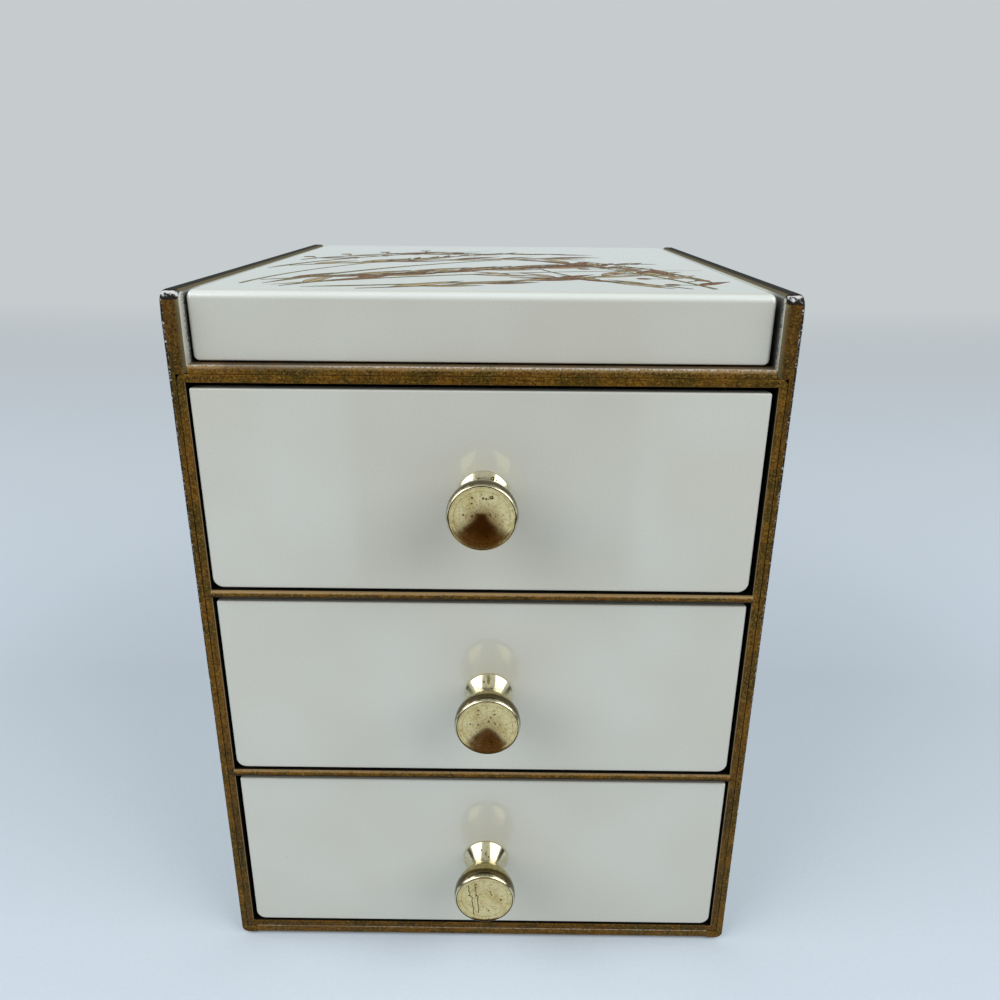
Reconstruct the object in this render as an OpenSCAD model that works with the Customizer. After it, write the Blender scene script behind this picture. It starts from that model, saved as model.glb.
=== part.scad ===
// Desktop mini chest: three small drawers under a lift-up lid.
// X runs to the right, -Y is the front, Z is up. The origin is the centre of the
// chest's footprint on the surface that it stands on. All lengths are millimetres.

/* [Cabinet] */
// Width over the two side panels
case_w = 108; // [90:1:160]
// Depth of the side panels
case_d = 118; // [90:1:180]
// Thickness of a side panel
panel_t = 3.4; // [3.0:0.1:6.0]
// Skin of the side panel that is left outside the drawer frames
skin_t = 1.3; // [1.0:0.1:1.8]
// Thickness of the bottom panel
bottom_t = 1.9; // [1.4:0.1:4.0]
// Thickness of the deck under the lid
deck_t = 1.6; // [1.2:0.1:4.0]
// Thickness of the back panel
back_t = 2.4; // [1.6:0.1:5.0]
// Rounding of the painted front edges
edge_r = 0.5; // [0.2:0.1:0.6]
// Rounding of the side panel's upper front corner
ear_r = 2.2; // [1.0:0.1:5.0]
// Rounding of the side panel's lower outer edge
foot_r = 1.6; // [0.5:0.1:2.8]
// Rounding of the deck's upper front edge
deck_r = 0.9; // [0.3:0.1:1.1]

/* [Drawer frames] */
// Wall of the moulded drawer frames
frame_t = 1.5; // [1.2:0.1:3.0]
// Clear height of one drawer cell
cell_h = 39.8; // [30:0.1:60]
// How far a shelf's rounded nose stands out of the front
nose_out = 0.7; // [0.3:0.1:1.2]
// Rounding of the top frame's outer corners
frame_r = 1.2; // [0.4:0.1:1.4]

/* [Drawer fronts] */
// Thickness of a drawer front
front_t = 3.0; // [2.0:0.1:6.0]
// Drawer front behind the front edges of the side panels
front_recess = 0.2; // [0:0.1:2.0]
// Gap on each side of a drawer front in the middle of its cell
front_gap_side = 0.65; // [0.65:0.05:1.5]
// Gap under a drawer front
front_gap_below = 0.4; // [0.4:0.1:1.5]
// Gap over a drawer front
front_gap_above = 1.0; // [0.4:0.1:2.0]
// Upper drawer right of the middle of its cell
upper_drawer_shift = -0.25; // [-0.25:0.05:0.25]
// Middle drawer right of the middle of its cell
middle_drawer_shift = -0.1; // [-0.25:0.05:0.25]
// Lower drawer right of the middle of its cell
lower_drawer_shift = 0.15; // [-0.25:0.05:0.25]
// Rounding of a drawer front's lower corners
front_corner_r = 2.0; // [0.5:0.1:4.0]
// Rounding of the edges round a drawer front's face
front_edge_r = 0.35; // [0.2:0.05:0.6]

/* [Drawer trays] */
// Wall of a drawer tray
tray_wall = 1.4; // [1.0:0.1:2.5]
// Floor of a drawer tray
tray_floor = 1.4; // [1.0:0.1:2.5]
// Height of a drawer tray
tray_h = 33; // [25:0.5:36]
// Tray side behind the end of the drawer front
tray_inset = 0.15; // [0:0.05:0.6]
// Running gap under a drawer tray
tray_lift = 0.3; // [0.2:0.05:0.6]
// Gap between a drawer tray and the back panel
tray_rear_gap = 1.0; // [0.5:0.1:5.0]
// Rounding of a tray's upright corners
tray_r = 2.4; // [1.0:0.1:5.0]
// Thickness of the felt in a drawer
felt_t = 0.8; // [0.4:0.1:2.0]
// Gap between the felt and the tray's walls
felt_gap = 0.3; // [0.1:0.1:1.0]

/* [Knobs] */
// Length of a knob
knob_l = 11.4; // [10:0.1:20]
// Radius of a knob's head
knob_head_r = 6.2; // [5.0:0.1:9.0]
// Radius of the dished face
knob_face_r = 5.5; // [3.5:0.1:5.6]
// Depth of the dished face
knob_dish = 1.3; // [0.2:0.1:1.8]
// Depth of the head's rounded rim
knob_rim = 1.5; // [0.5:0.1:2.5]
// Radius of a knob's foot
knob_base_r = 4.7; // [3.8:0.1:7.0]
// Radius of a knob's neck
knob_neck_r = 2.6; // [2.4:0.1:3.6]
// Place of the neck along the knob
knob_neck_at = 4.6; // [3.0:0.1:5.5]
// Upper knob right of the chest's middle
upper_knob_x = 0.4; // [-10:0.1:10]
// Middle knob right of the chest's middle
middle_knob_x = 1.4; // [-10:0.1:10]
// Lower knob right of the chest's middle
lower_knob_x = 0.9; // [-10:0.1:10]
// Upper knob under the middle of its drawer front
upper_knob_drop = 0.0; // [-5:0.1:5]
// Middle knob under the middle of its drawer front
middle_knob_drop = 0.7; // [-5:0.1:5]
// Lower knob under the middle of its drawer front
lower_knob_drop = 1.1; // [-5:0.1:5]
// Radius of the knob screw's thread
screw_r = 1.5; // [1.2:0.1:1.8]
// Clearance round the screw in the drawer
screw_clear = 0.15; // [0.05:0.05:0.4]
// Length of thread in the knob
screw_bite = 6.0; // [3.0:0.5:8.0]
// Radius of the screw's head
screw_head_r = 2.8; // [2.4:0.1:4.0]
// Height of the screw's head
screw_head_h = 1.8; // [1.4:0.1:3.0]

/* [Lid] */
// Height of the lid
lid_h = 12.0; // [9.0:0.1:20.0]
// Gap between the lid and the deck
lid_lift = 0.4; // [0.4:0.05:1.5]
// Lid under the side panels' top edges
lid_drop = 0.1; // [0:0.1:2.0]
// Lid behind the front edges of the side panels
lid_front_recess = 2.0; // [0:0.1:5.0]
// Lid in front of the side panels' rear edges
lid_back_recess = 0.3; // [0:0.1:3.0]
// Gap between the lid and the left side panel
lid_gap_left = 0.54; // [0.4:0.02:2.0]
// Gap between the lid and the right side panel
lid_gap_right = 0.84; // [0.4:0.02:2.0]
// Side and front walls of the lid
lid_wall = 2.3; // [1.5:0.1:4.0]
// Top wall of the lid
lid_top_t = 2.2; // [1.4:0.1:4.0]
// Rounding of the lid's lower corners, seen from the front
lid_corner_r = 1.8; // [0.5:0.1:3.0]
// Rounding of the lid's upper edges
lid_edge_r = 1.1; // [0.4:0.1:2.0]
// Rounding of the lid's upright front edges
lid_nose_r = 0.8; // [0.3:0.1:1.5]
// Thickness of the mirror
mirror_t = 1.6; // [1.0:0.1:3.0]
// Gap between the mirror and the lid's walls
mirror_gap = 0.4; // [0.2:0.1:1.0]

/* [Hinge] */
// Radius of a hinge pin
pin_r = 1.0; // [0.8:0.1:1.8]
// Length of a hinge pin
pin_l = 7.6; // [6.8:0.1:10.0]
// Hinge pin under the outer face of the side panel
pin_sink = 0.2; // [0:0.1:0.5]
// Running clearance round a pin in the lid
pin_clear = 0.05; // [0.01:0.01:0.1]
// Clearance at the end of a pin in the lid
pin_end_gap = 0.6; // [0.3:0.1:2.0]
// Solid lid in front of the pins
pin_seat = 3.2; // [2.0:0.1:8.0]

/* [Felts] */
// Thickness of the felt under the chest
base_t = 0.6; // [0.4:0.1:3.0]
// Base felt inside the edge of the chest
base_inset = 4.0; // [2.0:0.5:15.0]
// Gap between the deck felt and the lid's walls
deck_felt_gap = 0.7; // [0.5:0.1:4.0]

/* [Hidden] */
$fn = 48;

CREAM = [0.78, 0.78, 0.74];
BRONZE = [0.42, 0.29, 0.11];
BLACK = [0.06, 0.06, 0.06];
BRASS = [0.83, 0.72, 0.42];
STEEL = [0.60, 0.60, 0.60];
FELT = [0.24, 0.11, 0.08];
GLASS = [0.75, 0.82, 0.85];

UPPER = 2;                // cells are counted from the bottom
MIDDLE = 1;
LOWER = 0;
past = 1;                 // how far a cut runs past what it cuts

front_y = -case_d / 2;
back_y = case_d / 2;
inner_x = case_w / 2 - panel_t;             // inner face of a side panel
frame_x = case_w / 2 - skin_t;              // outer face of the drawer frames
cell_x = frame_x - frame_t;                 // inner face of the drawer frames
pitch = cell_h + frame_t;
frames_z = base_t + bottom_t;               // underside of the lowest frame
frames_top = frames_z + 3 * pitch + frame_t;
deck_top = frames_top + deck_t;
lid_z = deck_top + lid_lift;
lid_top = lid_z + lid_h;
panel_top = lid_top + lid_drop;
frame_back = back_y - back_t;
small_r = 0.3;                              // edges that are only just broken
nose_r = min(nose_out, frame_t / 2 - 0.05); // leaves a shelf's nose a narrow flat

lid_x0 = -inner_x + lid_gap_left;
lid_x1 = inner_x - lid_gap_right;
lid_y0 = front_y + lid_front_recess;
lid_y1 = back_y - lid_back_recess;
hinge_r = lid_h / 2;                        // the lid's rear edge turns on this
hinge_y = lid_y1 - hinge_r;
hinge_z = lid_z + hinge_r;
hollow_y1 = hinge_y - pin_r - pin_seat;     // rear end of the lid's hollow
hollow_r = 1.5;
roof_z = lid_top - lid_top_t;               // ceiling of the lid's hollow

face_y = front_y + front_recess;
front_back = face_y + front_t;
front_h = cell_h - front_gap_below - front_gap_above;
front_x = cell_x - front_gap_side;          // half the width of a drawer front
tray_x = front_x - tray_inset;              // half the width of a drawer tray
tray_back = frame_back - tray_rear_gap;
screw_tip = face_y - screw_bite;
screw_seat = front_back + tray_wall;        // where the screw's head bears

function cell_z(level) = frames_z + frame_t + level * pitch;
function drawer_x(level) = [lower_drawer_shift, middle_drawer_shift, upper_drawer_shift][level];
function knob_x(level) = [lower_knob_x, middle_knob_x, upper_knob_x][level];
function knob_drop(level) = [lower_knob_drop, middle_knob_drop, upper_knob_drop][level];
function knob_z(level) = cell_z(level) + front_gap_below + front_h / 2 - knob_drop(level);

// ---- outlines ----

// What lies outside an arc of radius r in a corner; "into" points into the shape.
module corner_cut(at, into, r) {
    if (r > 0)
        translate(at)
            difference() {
                translate([into.x > 0 ? -past : -r, into.y > 0 ? -past : -r])
                    square(r + past);
                translate(into * r)
                    circle(r);
            }
}

// A rectangle from low to high; r lists its corners from the lower left, anticlockwise.
module plate(low, high, r) {
    difference() {
        translate(low)
            square(high - low);
        corner_cut(low, [1, 1], r[0]);
        corner_cut([high.x, low.y], [-1, 1], r[1]);
        corner_cut(high, [-1, -1], r[2]);
        corner_cut([low.x, high.y], [1, -1], r[3]);
    }
}

// Takes an outline in X and Z through the part from y0 to y1.
module along_y(y0, y1) {
    translate([0, y1, 0])
        rotate([90, 0, 0])
            linear_extrude(y1 - y0)
                children();
}

// Takes an outline in Y and Z through the part from x0 to x1.
module along_x(x0, x1) {
    translate([x0, 0, 0])
        rotate([90, 0, 90])
            linear_extrude(x1 - x0)
                children();
}

// Takes an outline in X and Y up through the part from z0 to z1.
module along_z(z0, z1) {
    translate([0, 0, z0])
        linear_extrude(z1 - z0)
            children();
}

// A round bar or hole along Y.
module rod_y(x, z, y0, y1, r) {
    translate([x, y1, z])
        rotate([90, 0, 0])
            cylinder(h = y1 - y0, r = r);
}

// A round bar or hole along X.
module rod_x(x0, x1, y, z, r) {
    translate([x0, y, z])
        rotate([0, 90, 0])
            cylinder(h = x1 - x0, r = r);
}

// ---- cabinet ----

// The right-hand panel: a full board above and below, housed out for the frames.
module side_panel() {
    difference() {
        intersection() {
            along_z(base_t, panel_top)
                plate([inner_x, front_y], [case_w / 2, back_y],
                      [edge_r, edge_r, small_r, small_r]);
            along_x(inner_x, case_w / 2)
                plate([front_y, base_t], [back_y, panel_top],
                      [edge_r, small_r, edge_r, ear_r]);
            along_y(front_y, back_y)
                plate([inner_x, base_t], [case_w / 2, panel_top],
                      [0, foot_r, edge_r, edge_r]);
        }
        along_y(front_y - past, back_y + past)
            plate([inner_x - past, frames_z], [frame_x, frames_top], [0, 0, frame_r, 0]);
        rod_x(inner_x - past, case_w / 2 + past, hinge_y, hinge_z, pin_r);
    }
}

module left_side_panel() {
    color(CREAM)
        mirror([1, 0, 0])
            side_panel();
}

module right_side_panel() {
    color(CREAM)
        side_panel();
}

module bottom_panel() {
    color(BRONZE)
        along_x(-inner_x, inner_x)
            plate([front_y, base_t], [back_y, frames_z], [edge_r, small_r, 0, 0]);
}

module deck() {
    color(BRONZE)
        along_x(-inner_x, inner_x)
            plate([front_y, frames_top], [back_y, deck_top], [0, 0, small_r, deck_r]);
}

module back_panel() {
    color(CREAM)
        along_y(frame_back, back_y)
            plate([-frame_x, frames_z], [frame_x, frames_top], [0, 0, frame_r, frame_r]);
}

// A moulded frame: two walls on a shelf, and a roof on the top one.
module frame(level) {
    z = cell_z(level);
    roof = level == UPPER ? frame_t : 0;
    corner = level == UPPER ? frame_r : 0;
    nose = level == LOWER ? 0 : nose_out;
    color(BRONZE) {
        along_y(front_y, frame_back)
            difference() {
                plate([-frame_x, z - frame_t], [frame_x, z + cell_h + roof], [0, 0, corner, corner]);
                translate([-cell_x, z])
                    square([2 * cell_x, roof > 0 ? cell_h : cell_h + past]);
            }
        if (nose > 0)
            along_x(-cell_x, cell_x)
                plate([front_y - nose, z - frame_t], [front_y + frame_t, z],
                      [nose_r, 0, 0, nose_r]);
    }
}

module upper_frame() {
    frame(UPPER);
}

module middle_frame() {
    frame(MIDDLE);
}

module lower_frame() {
    frame(LOWER);
}

module base_felt() {
    felt_x = case_w / 2 - base_inset;
    felt_y = back_y - base_inset;
    color(BLACK)
        along_z(0, base_t)
            plate([-felt_x, -felt_y], [felt_x, felt_y], [1, 1, 1, 1] * base_inset / 2);
}

module deck_felt() {
    inset = lid_wall + deck_felt_gap;
    color(FELT)
        along_z(deck_top, deck_top + felt_t)
            plate([lid_x0 + inset, lid_y0 + inset], [lid_x1 - inset, hollow_y1 - deck_felt_gap],
                  [1, 1, 1, 1] * hollow_r);
}

module hinge_pin(x0) {
    color(BRASS)
        rod_x(x0, x0 + pin_l, hinge_y, hinge_z, pin_r);
}

module left_hinge_pin() {
    hinge_pin(pin_sink - case_w / 2);
}

module right_hinge_pin() {
    hinge_pin(case_w / 2 - pin_sink - pin_l);
}

// ---- lid ----

module lid_shell() {
    pin_end = case_w / 2 - pin_sink - pin_l - pin_end_gap;
    color(CREAM)
        difference() {
            intersection() {
                along_z(lid_z, lid_top)
                    plate([lid_x0, lid_y0], [lid_x1, lid_y1],
                          [lid_nose_r, lid_nose_r, small_r, small_r]);
                along_x(lid_x0, lid_x1)
                    plate([lid_y0, lid_z], [lid_y1, lid_top],
                          [small_r, hinge_r, lid_edge_r, lid_edge_r]);
                along_y(lid_y0, lid_y1)
                    plate([lid_x0, lid_z], [lid_x1, lid_top],
                          [lid_corner_r, lid_corner_r, lid_edge_r, lid_edge_r]);
            }
            along_z(lid_z - past, roof_z)
                plate([lid_x0 + lid_wall, lid_y0 + lid_wall], [lid_x1 - lid_wall, hollow_y1],
                      [1, 1, 1, 1] * hollow_r);
            rod_x(lid_x0 - past, -pin_end, hinge_y, hinge_z, pin_r + pin_clear);
            rod_x(pin_end, lid_x1 + past, hinge_y, hinge_z, pin_r + pin_clear);
        }
}

module lid_mirror() {
    inset = lid_wall + mirror_gap;
    color(GLASS)
        along_z(roof_z - mirror_t, roof_z)
            plate([lid_x0 + inset, lid_y0 + inset], [lid_x1 - inset, hollow_y1 - mirror_gap],
                  [1, 1, 1, 1] * hollow_r);
}

// ---- drawers ----

module drawer_front(level) {
    x0 = drawer_x(level) - front_x;
    x1 = drawer_x(level) + front_x;
    z0 = cell_z(level) + front_gap_below;
    z1 = z0 + front_h;
    color(CREAM)
        difference() {
            intersection() {
                along_y(face_y, front_back)
                    plate([x0, z0], [x1, z1],
                          [front_corner_r, front_corner_r, front_edge_r, front_edge_r]);
                along_x(x0, x1)
                    plate([face_y, z0], [front_back, z1], [front_edge_r, 0, 0, front_edge_r]);
                along_z(z0, z1)
                    plate([x0, face_y], [x1, front_back], [front_edge_r, front_edge_r, 0, 0]);
            }
            rod_y(knob_x(level), knob_z(level), face_y - past, front_back + past,
                  screw_r + screw_clear);
        }
}

module drawer_tray(level) {
    x0 = drawer_x(level) - tray_x;
    x1 = drawer_x(level) + tray_x;
    z0 = cell_z(level) + tray_lift;
    inner_r = max(tray_r - tray_wall, small_r);
    color(BLACK)
        difference() {
            along_z(z0, z0 + tray_h)
                plate([x0, front_back], [x1, tray_back], [0, 0, tray_r, tray_r]);
            along_z(z0 + tray_floor, z0 + tray_h + past)
                plate([x0 + tray_wall, front_back + tray_wall],
                      [x1 - tray_wall, tray_back - tray_wall], [1, 1, 1, 1] * inner_r);
            rod_y(knob_x(level), knob_z(level), front_back - past, screw_seat + past,
                  screw_r + screw_clear);
        }
}

module drawer_felt(level) {
    z0 = cell_z(level) + tray_lift + tray_floor;
    inset = tray_wall + felt_gap;
    color(FELT)
        along_z(z0, z0 + felt_t)
            plate([drawer_x(level) - tray_x + inset, front_back + inset],
                  [drawer_x(level) + tray_x - inset, tray_back - inset],
                  [1, 1, 1, 1] * max(tray_r - tray_wall, small_r));
}

// A turned knob: foot, trumpet neck, domed head, round rim and dished face.
// Its outline is radius against distance from the drawer front.
module knob(level) {
    foot_edge = 0.45;                       // straight edge of the foot
    steps = 10;
    swell_at = knob_l - knob_rim;           // widest place of the head
    foot = [for (i = [0 : steps]) let (s = i / steps)
        [knob_neck_r + (knob_base_r - knob_neck_r) * pow(1 - s, 1.6),
         foot_edge + (knob_neck_at - foot_edge) * s]];
    head = [for (i = [1 : steps]) let (s = pow(i / steps, 1.5))
        [knob_neck_r + (knob_head_r - knob_neck_r) * pow(1 - pow(1 - s, 1.9), 1 / 1.5),
         knob_neck_at + (swell_at - knob_neck_at) * s]];
    round_rim = [for (i = [1 : steps]) let (a = 90 * i / steps)
        [knob_face_r + (knob_head_r - knob_face_r) * cos(a), swell_at + knob_rim * sin(a)]];
    color(BRASS)
        translate([knob_x(level), face_y, knob_z(level)])
            rotate([90, 0, 0])
                difference() {
                    rotate_extrude()
                        polygon(concat([[0, 0], [knob_base_r, 0]], foot, head, round_rim,
                                       [[0, knob_l - knob_dish]]));
                    translate([0, 0, -past])
                        cylinder(h = screw_bite + past, r = screw_r);
                }
}

module knob_screw(level) {
    slot_w = 0.7;
    slot_l = screw_head_r * 1.1;
    dome = 0.9;                             // rounding of the pan head
    color(STEEL)
        difference() {
            union() {
                rod_y(knob_x(level), knob_z(level), screw_tip, screw_seat, screw_r);
                translate([knob_x(level), screw_seat, knob_z(level)])
                    rotate([-90, 0, 0])
                        rotate_extrude()
                            intersection() {
                                translate([-screw_head_r, 0])
                                    plate([0, 0], [2 * screw_head_r, screw_head_h],
                                          [0, 0, dome, dome]);
                                square([screw_head_r + past, screw_head_h]);
                            }
            }
            for (turn = [0, 90])
                translate([knob_x(level), screw_seat + screw_head_h, knob_z(level)])
                    rotate([0, turn, 0])
                        cube([slot_l, screw_head_h, slot_w], center = true);
        }
}

module upper_front() {
    drawer_front(UPPER);
}

module upper_tray() {
    drawer_tray(UPPER);
}

module upper_felt() {
    drawer_felt(UPPER);
}

module upper_knob() {
    knob(UPPER);
}

module upper_knob_screw() {
    knob_screw(UPPER);
}

module middle_front() {
    drawer_front(MIDDLE);
}

module middle_tray() {
    drawer_tray(MIDDLE);
}

module middle_felt() {
    drawer_felt(MIDDLE);
}

module middle_knob() {
    knob(MIDDLE);
}

module middle_knob_screw() {
    knob_screw(MIDDLE);
}

module lower_front() {
    drawer_front(LOWER);
}

module lower_tray() {
    drawer_tray(LOWER);
}

module lower_felt() {
    drawer_felt(LOWER);
}

module lower_knob() {
    knob(LOWER);
}

module lower_knob_screw() {
    knob_screw(LOWER);
}

left_side_panel();
right_side_panel();
bottom_panel();
back_panel();
deck();
upper_frame();
middle_frame();
lower_frame();
base_felt();
deck_felt();
left_hinge_pin();
right_hinge_pin();
lid_shell();
lid_mirror();
upper_front();
upper_tray();
upper_felt();
upper_knob();
upper_knob_screw();
middle_front();
middle_tray();
middle_felt();
middle_knob();
middle_knob_screw();
lower_front();
lower_tray();
lower_felt();
lower_knob();
lower_knob_screw();
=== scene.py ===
from math import cos, hypot, pi, radians, sin
from random import Random

import bmesh
import bpy
from mathutils import Matrix, Vector, noise


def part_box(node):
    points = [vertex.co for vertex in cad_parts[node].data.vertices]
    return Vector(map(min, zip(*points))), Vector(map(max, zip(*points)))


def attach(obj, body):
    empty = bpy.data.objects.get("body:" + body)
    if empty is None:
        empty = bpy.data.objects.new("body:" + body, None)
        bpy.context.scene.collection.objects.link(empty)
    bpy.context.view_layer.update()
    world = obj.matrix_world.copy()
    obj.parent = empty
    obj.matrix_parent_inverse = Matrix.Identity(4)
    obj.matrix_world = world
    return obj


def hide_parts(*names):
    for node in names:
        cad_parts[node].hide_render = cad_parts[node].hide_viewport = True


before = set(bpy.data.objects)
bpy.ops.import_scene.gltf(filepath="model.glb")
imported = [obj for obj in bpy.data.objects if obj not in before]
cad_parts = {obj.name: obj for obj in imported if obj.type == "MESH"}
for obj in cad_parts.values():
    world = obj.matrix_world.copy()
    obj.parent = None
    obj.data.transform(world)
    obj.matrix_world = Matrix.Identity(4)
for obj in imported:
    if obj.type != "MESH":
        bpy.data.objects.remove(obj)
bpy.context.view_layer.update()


# ---------------------------------------------------------------- side panels
# Two lacquered boards, housed out on the inside so that only a thin skin covers
# the drawer frames, and full thickness above the deck, where they stand up as
# ears. Their front and top edges are hand-painted in antique bronze.

mm = 0.001
NEAR = 0.01 * mm


def select_only(piece):
    """Selects one piece alone, so that an operator acts on nothing else."""
    bpy.ops.object.select_all(action="DESELECT")
    piece.select_set(True)
    bpy.context.view_layer.objects.active = piece


def block(name, low, high):
    """A cube at its size and place, the start of a sawn or moulded piece."""
    bpy.ops.object.select_all(action="DESELECT")
    low, high = Vector(low), Vector(high)
    bpy.ops.mesh.primitive_cube_add(size=1, location=(low + high) / 2)
    piece = bpy.context.object
    piece.name = piece.data.name = name
    piece.scale = high - low
    bpy.ops.object.transform_apply()
    return piece


def facing_front(name, low, high, y):
    """A flat face that looks to the front, the start of a piece of one section."""
    bpy.ops.object.select_all(action="DESELECT")
    middle = ((low.x + high.x) / 2, y, (low.z + high.z) / 2)
    bpy.ops.mesh.primitive_plane_add(size=1, location=middle, rotation=(pi / 2, 0, 0))
    piece = bpy.context.object
    piece.name = piece.data.name = name
    piece.scale = (high.x - low.x, high.z - low.z, 1)
    bpy.ops.object.transform_apply()
    return piece


def pick(piece, kind, wanted):
    """Selects, in edit mode, the faces, edges or points of a piece that are wanted."""
    bpy.context.view_layer.objects.active = piece
    if bpy.context.mode != "EDIT_MESH":
        bpy.ops.object.mode_set(mode="EDIT")
    bpy.ops.mesh.select_mode(type=kind)
    bpy.ops.mesh.select_all(action="DESELECT")
    mesh = bmesh.from_edit_mesh(piece.data)
    mesh.normal_update()
    for part in {"FACE": mesh.faces, "EDGE": mesh.edges, "VERT": mesh.verts}[kind]:
        if wanted(part):
            part.select_set(True)
    mesh.select_flush_mode()
    bmesh.update_edit_mesh(piece.data)


def lies(part, **place):
    """True if a face or edge lies wholly at the x, y or z that is given."""
    return all(abs(getattr(point.co, axis) - value) < NEAR
               for point in part.verts for axis, value in place.items())


def sharp(edge):
    """True for an outer corner that no rounding has reached yet."""
    return edge.is_manifold and edge.is_convex and edge.calc_face_angle() > radians(40)


def round_off(piece, radius, wanted, steps=4):
    """Rounds the wanted edges to a radius."""
    pick(piece, "EDGE", wanted)
    bpy.ops.mesh.bevel(offset=radius, segments=steps, affect="EDGES")


def soften(piece, radius_of, steps):
    """Rounds every edge to its own radius, as radius_of says, in one cut."""
    pick(piece, "EDGE", lambda edge: False)
    mesh = bmesh.from_edit_mesh(piece.data)
    softness = mesh.edges.layers.float.new("bevel_weight_edge")
    widest = max(radius_of(edge) for edge in mesh.edges)
    for edge in mesh.edges:
        edge[softness] = radius_of(edge) / widest
    bpy.ops.object.mode_set(mode="OBJECT")
    select_only(piece)
    bpy.ops.object.modifier_add(type="BEVEL")
    piece.modifiers[-1].limit_method = "WEIGHT"
    piece.modifiers[-1].use_clamp_overlap = False
    piece.modifiers[-1].width = widest
    piece.modifiers[-1].segments = steps
    bpy.ops.object.modifier_apply(modifier=piece.modifiers[-1].name)


def saw(piece, axis, places):
    """Cuts the whole piece across an axis at each place, and keeps both sides."""
    across = Vector([axis == name for name in "xyz"])
    for place in places:
        pick(piece, "FACE", lambda face: True)
        bpy.ops.mesh.bisect(plane_co=across * place, plane_no=across)


def push(piece, by, wanted):
    """Extrudes the wanted faces by a vector."""
    pick(piece, "FACE", wanted)
    bpy.ops.mesh.extrude_region_move(TRANSFORM_OT_translate={"value": by})


def tidy(piece):
    """Turns the faces outwards and joins the ones that lie in one plane."""
    pick(piece, "FACE", lambda face: True)
    bpy.ops.mesh.normals_make_consistent(inside=False)
    bpy.ops.mesh.dissolve_limited(angle_limit=radians(0.5))


def finish_off(piece, coat):
    """Smooths the rounded edges, keeps the flats flat, and gives the piece its finish."""
    pick(piece, "FACE", lambda face: True)
    bpy.ops.mesh.normals_make_consistent(inside=False)
    bpy.ops.object.mode_set(mode="OBJECT")
    select_only(piece)
    bpy.ops.object.shade_smooth_by_angle(angle=radians(38))
    bpy.ops.object.modifier_add(type="WEIGHTED_NORMAL")
    piece.modifiers[-1].keep_sharp = True
    bpy.ops.object.modifier_apply(modifier=piece.modifiers[-1].name)
    piece.data.materials.clear()
    piece.data.materials.append(coat)


def cut_out(piece, tool):
    """Takes the tool's shape out of a piece, and puts the tool away."""
    select_only(piece)
    bpy.ops.object.modifier_add(type="BOOLEAN")
    piece.modifiers[-1].object = tool
    bpy.ops.object.modifier_apply(modifier=piece.modifiers[-1].name)
    bpy.data.objects.remove(tool)


def bore(piece, middle, radius, depth, turned=(0, pi / 2, 0)):
    """Drills a round hole, along X unless it is turned."""
    if bpy.context.mode == "EDIT_MESH":
        bpy.ops.object.mode_set(mode="OBJECT")
    bpy.ops.object.select_all(action="DESELECT")
    bpy.ops.mesh.primitive_cylinder_add(vertices=32, radius=radius, depth=depth,
                                        location=middle, rotation=turned)
    cut_out(piece, bpy.context.object)


def colour(code):
    """The linear colour of an sRGB hex value."""
    shares = [int(code[i:i + 2], 16) / 255 for i in (1, 3, 5)]
    return [s / 12.92 if s <= 0.04045 else ((s + 0.055) / 1.055) ** 2.4 for s in shares] + [1]


def add(tree, kind, sockets=None, **options):
    """Adds one node. A socket takes a value, one output of a node, or a node."""
    made = tree.nodes.new("ShaderNode" + kind)
    for name, value in options.items():
        setattr(made, name, value)
    for name, value in (sockets or {}).items():
        if isinstance(value, bpy.types.Node):
            value = next(output for output in value.outputs if output.enabled)
        if isinstance(value, bpy.types.NodeSocket):
            tree.links.new(value, made.inputs[name])
        else:
            made.inputs[name].default_value = value
    return made


def new_finish(name):
    """An empty material, its node tree, and the place and the facing on a piece."""
    material = bpy.data.materials.new(name)
    material.use_nodes = True
    tree = material.node_tree
    tree.nodes.clear()
    where = add(tree, "TexCoord")
    return material, tree, where.outputs["Object"], where.outputs["Normal"]


# Cream lacquer, sprayed and polished: a clear gloss over a soft body colour with a
# fine spray stipple, the faintest orange peel, and a few specks of dust caught in it.
# Along its upper, rounded edges, above all on the lid, a painted highlight lightens
# it towards a pale, cool white.
CREAM = "#C5C6BC"
CREAM_WARM = "#C2C1B5"
EDGE_HIGHLIGHT = "#E6F1F0"
DUST = "#6F6A5E"
LID_FOOT = 129 * mm


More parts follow.
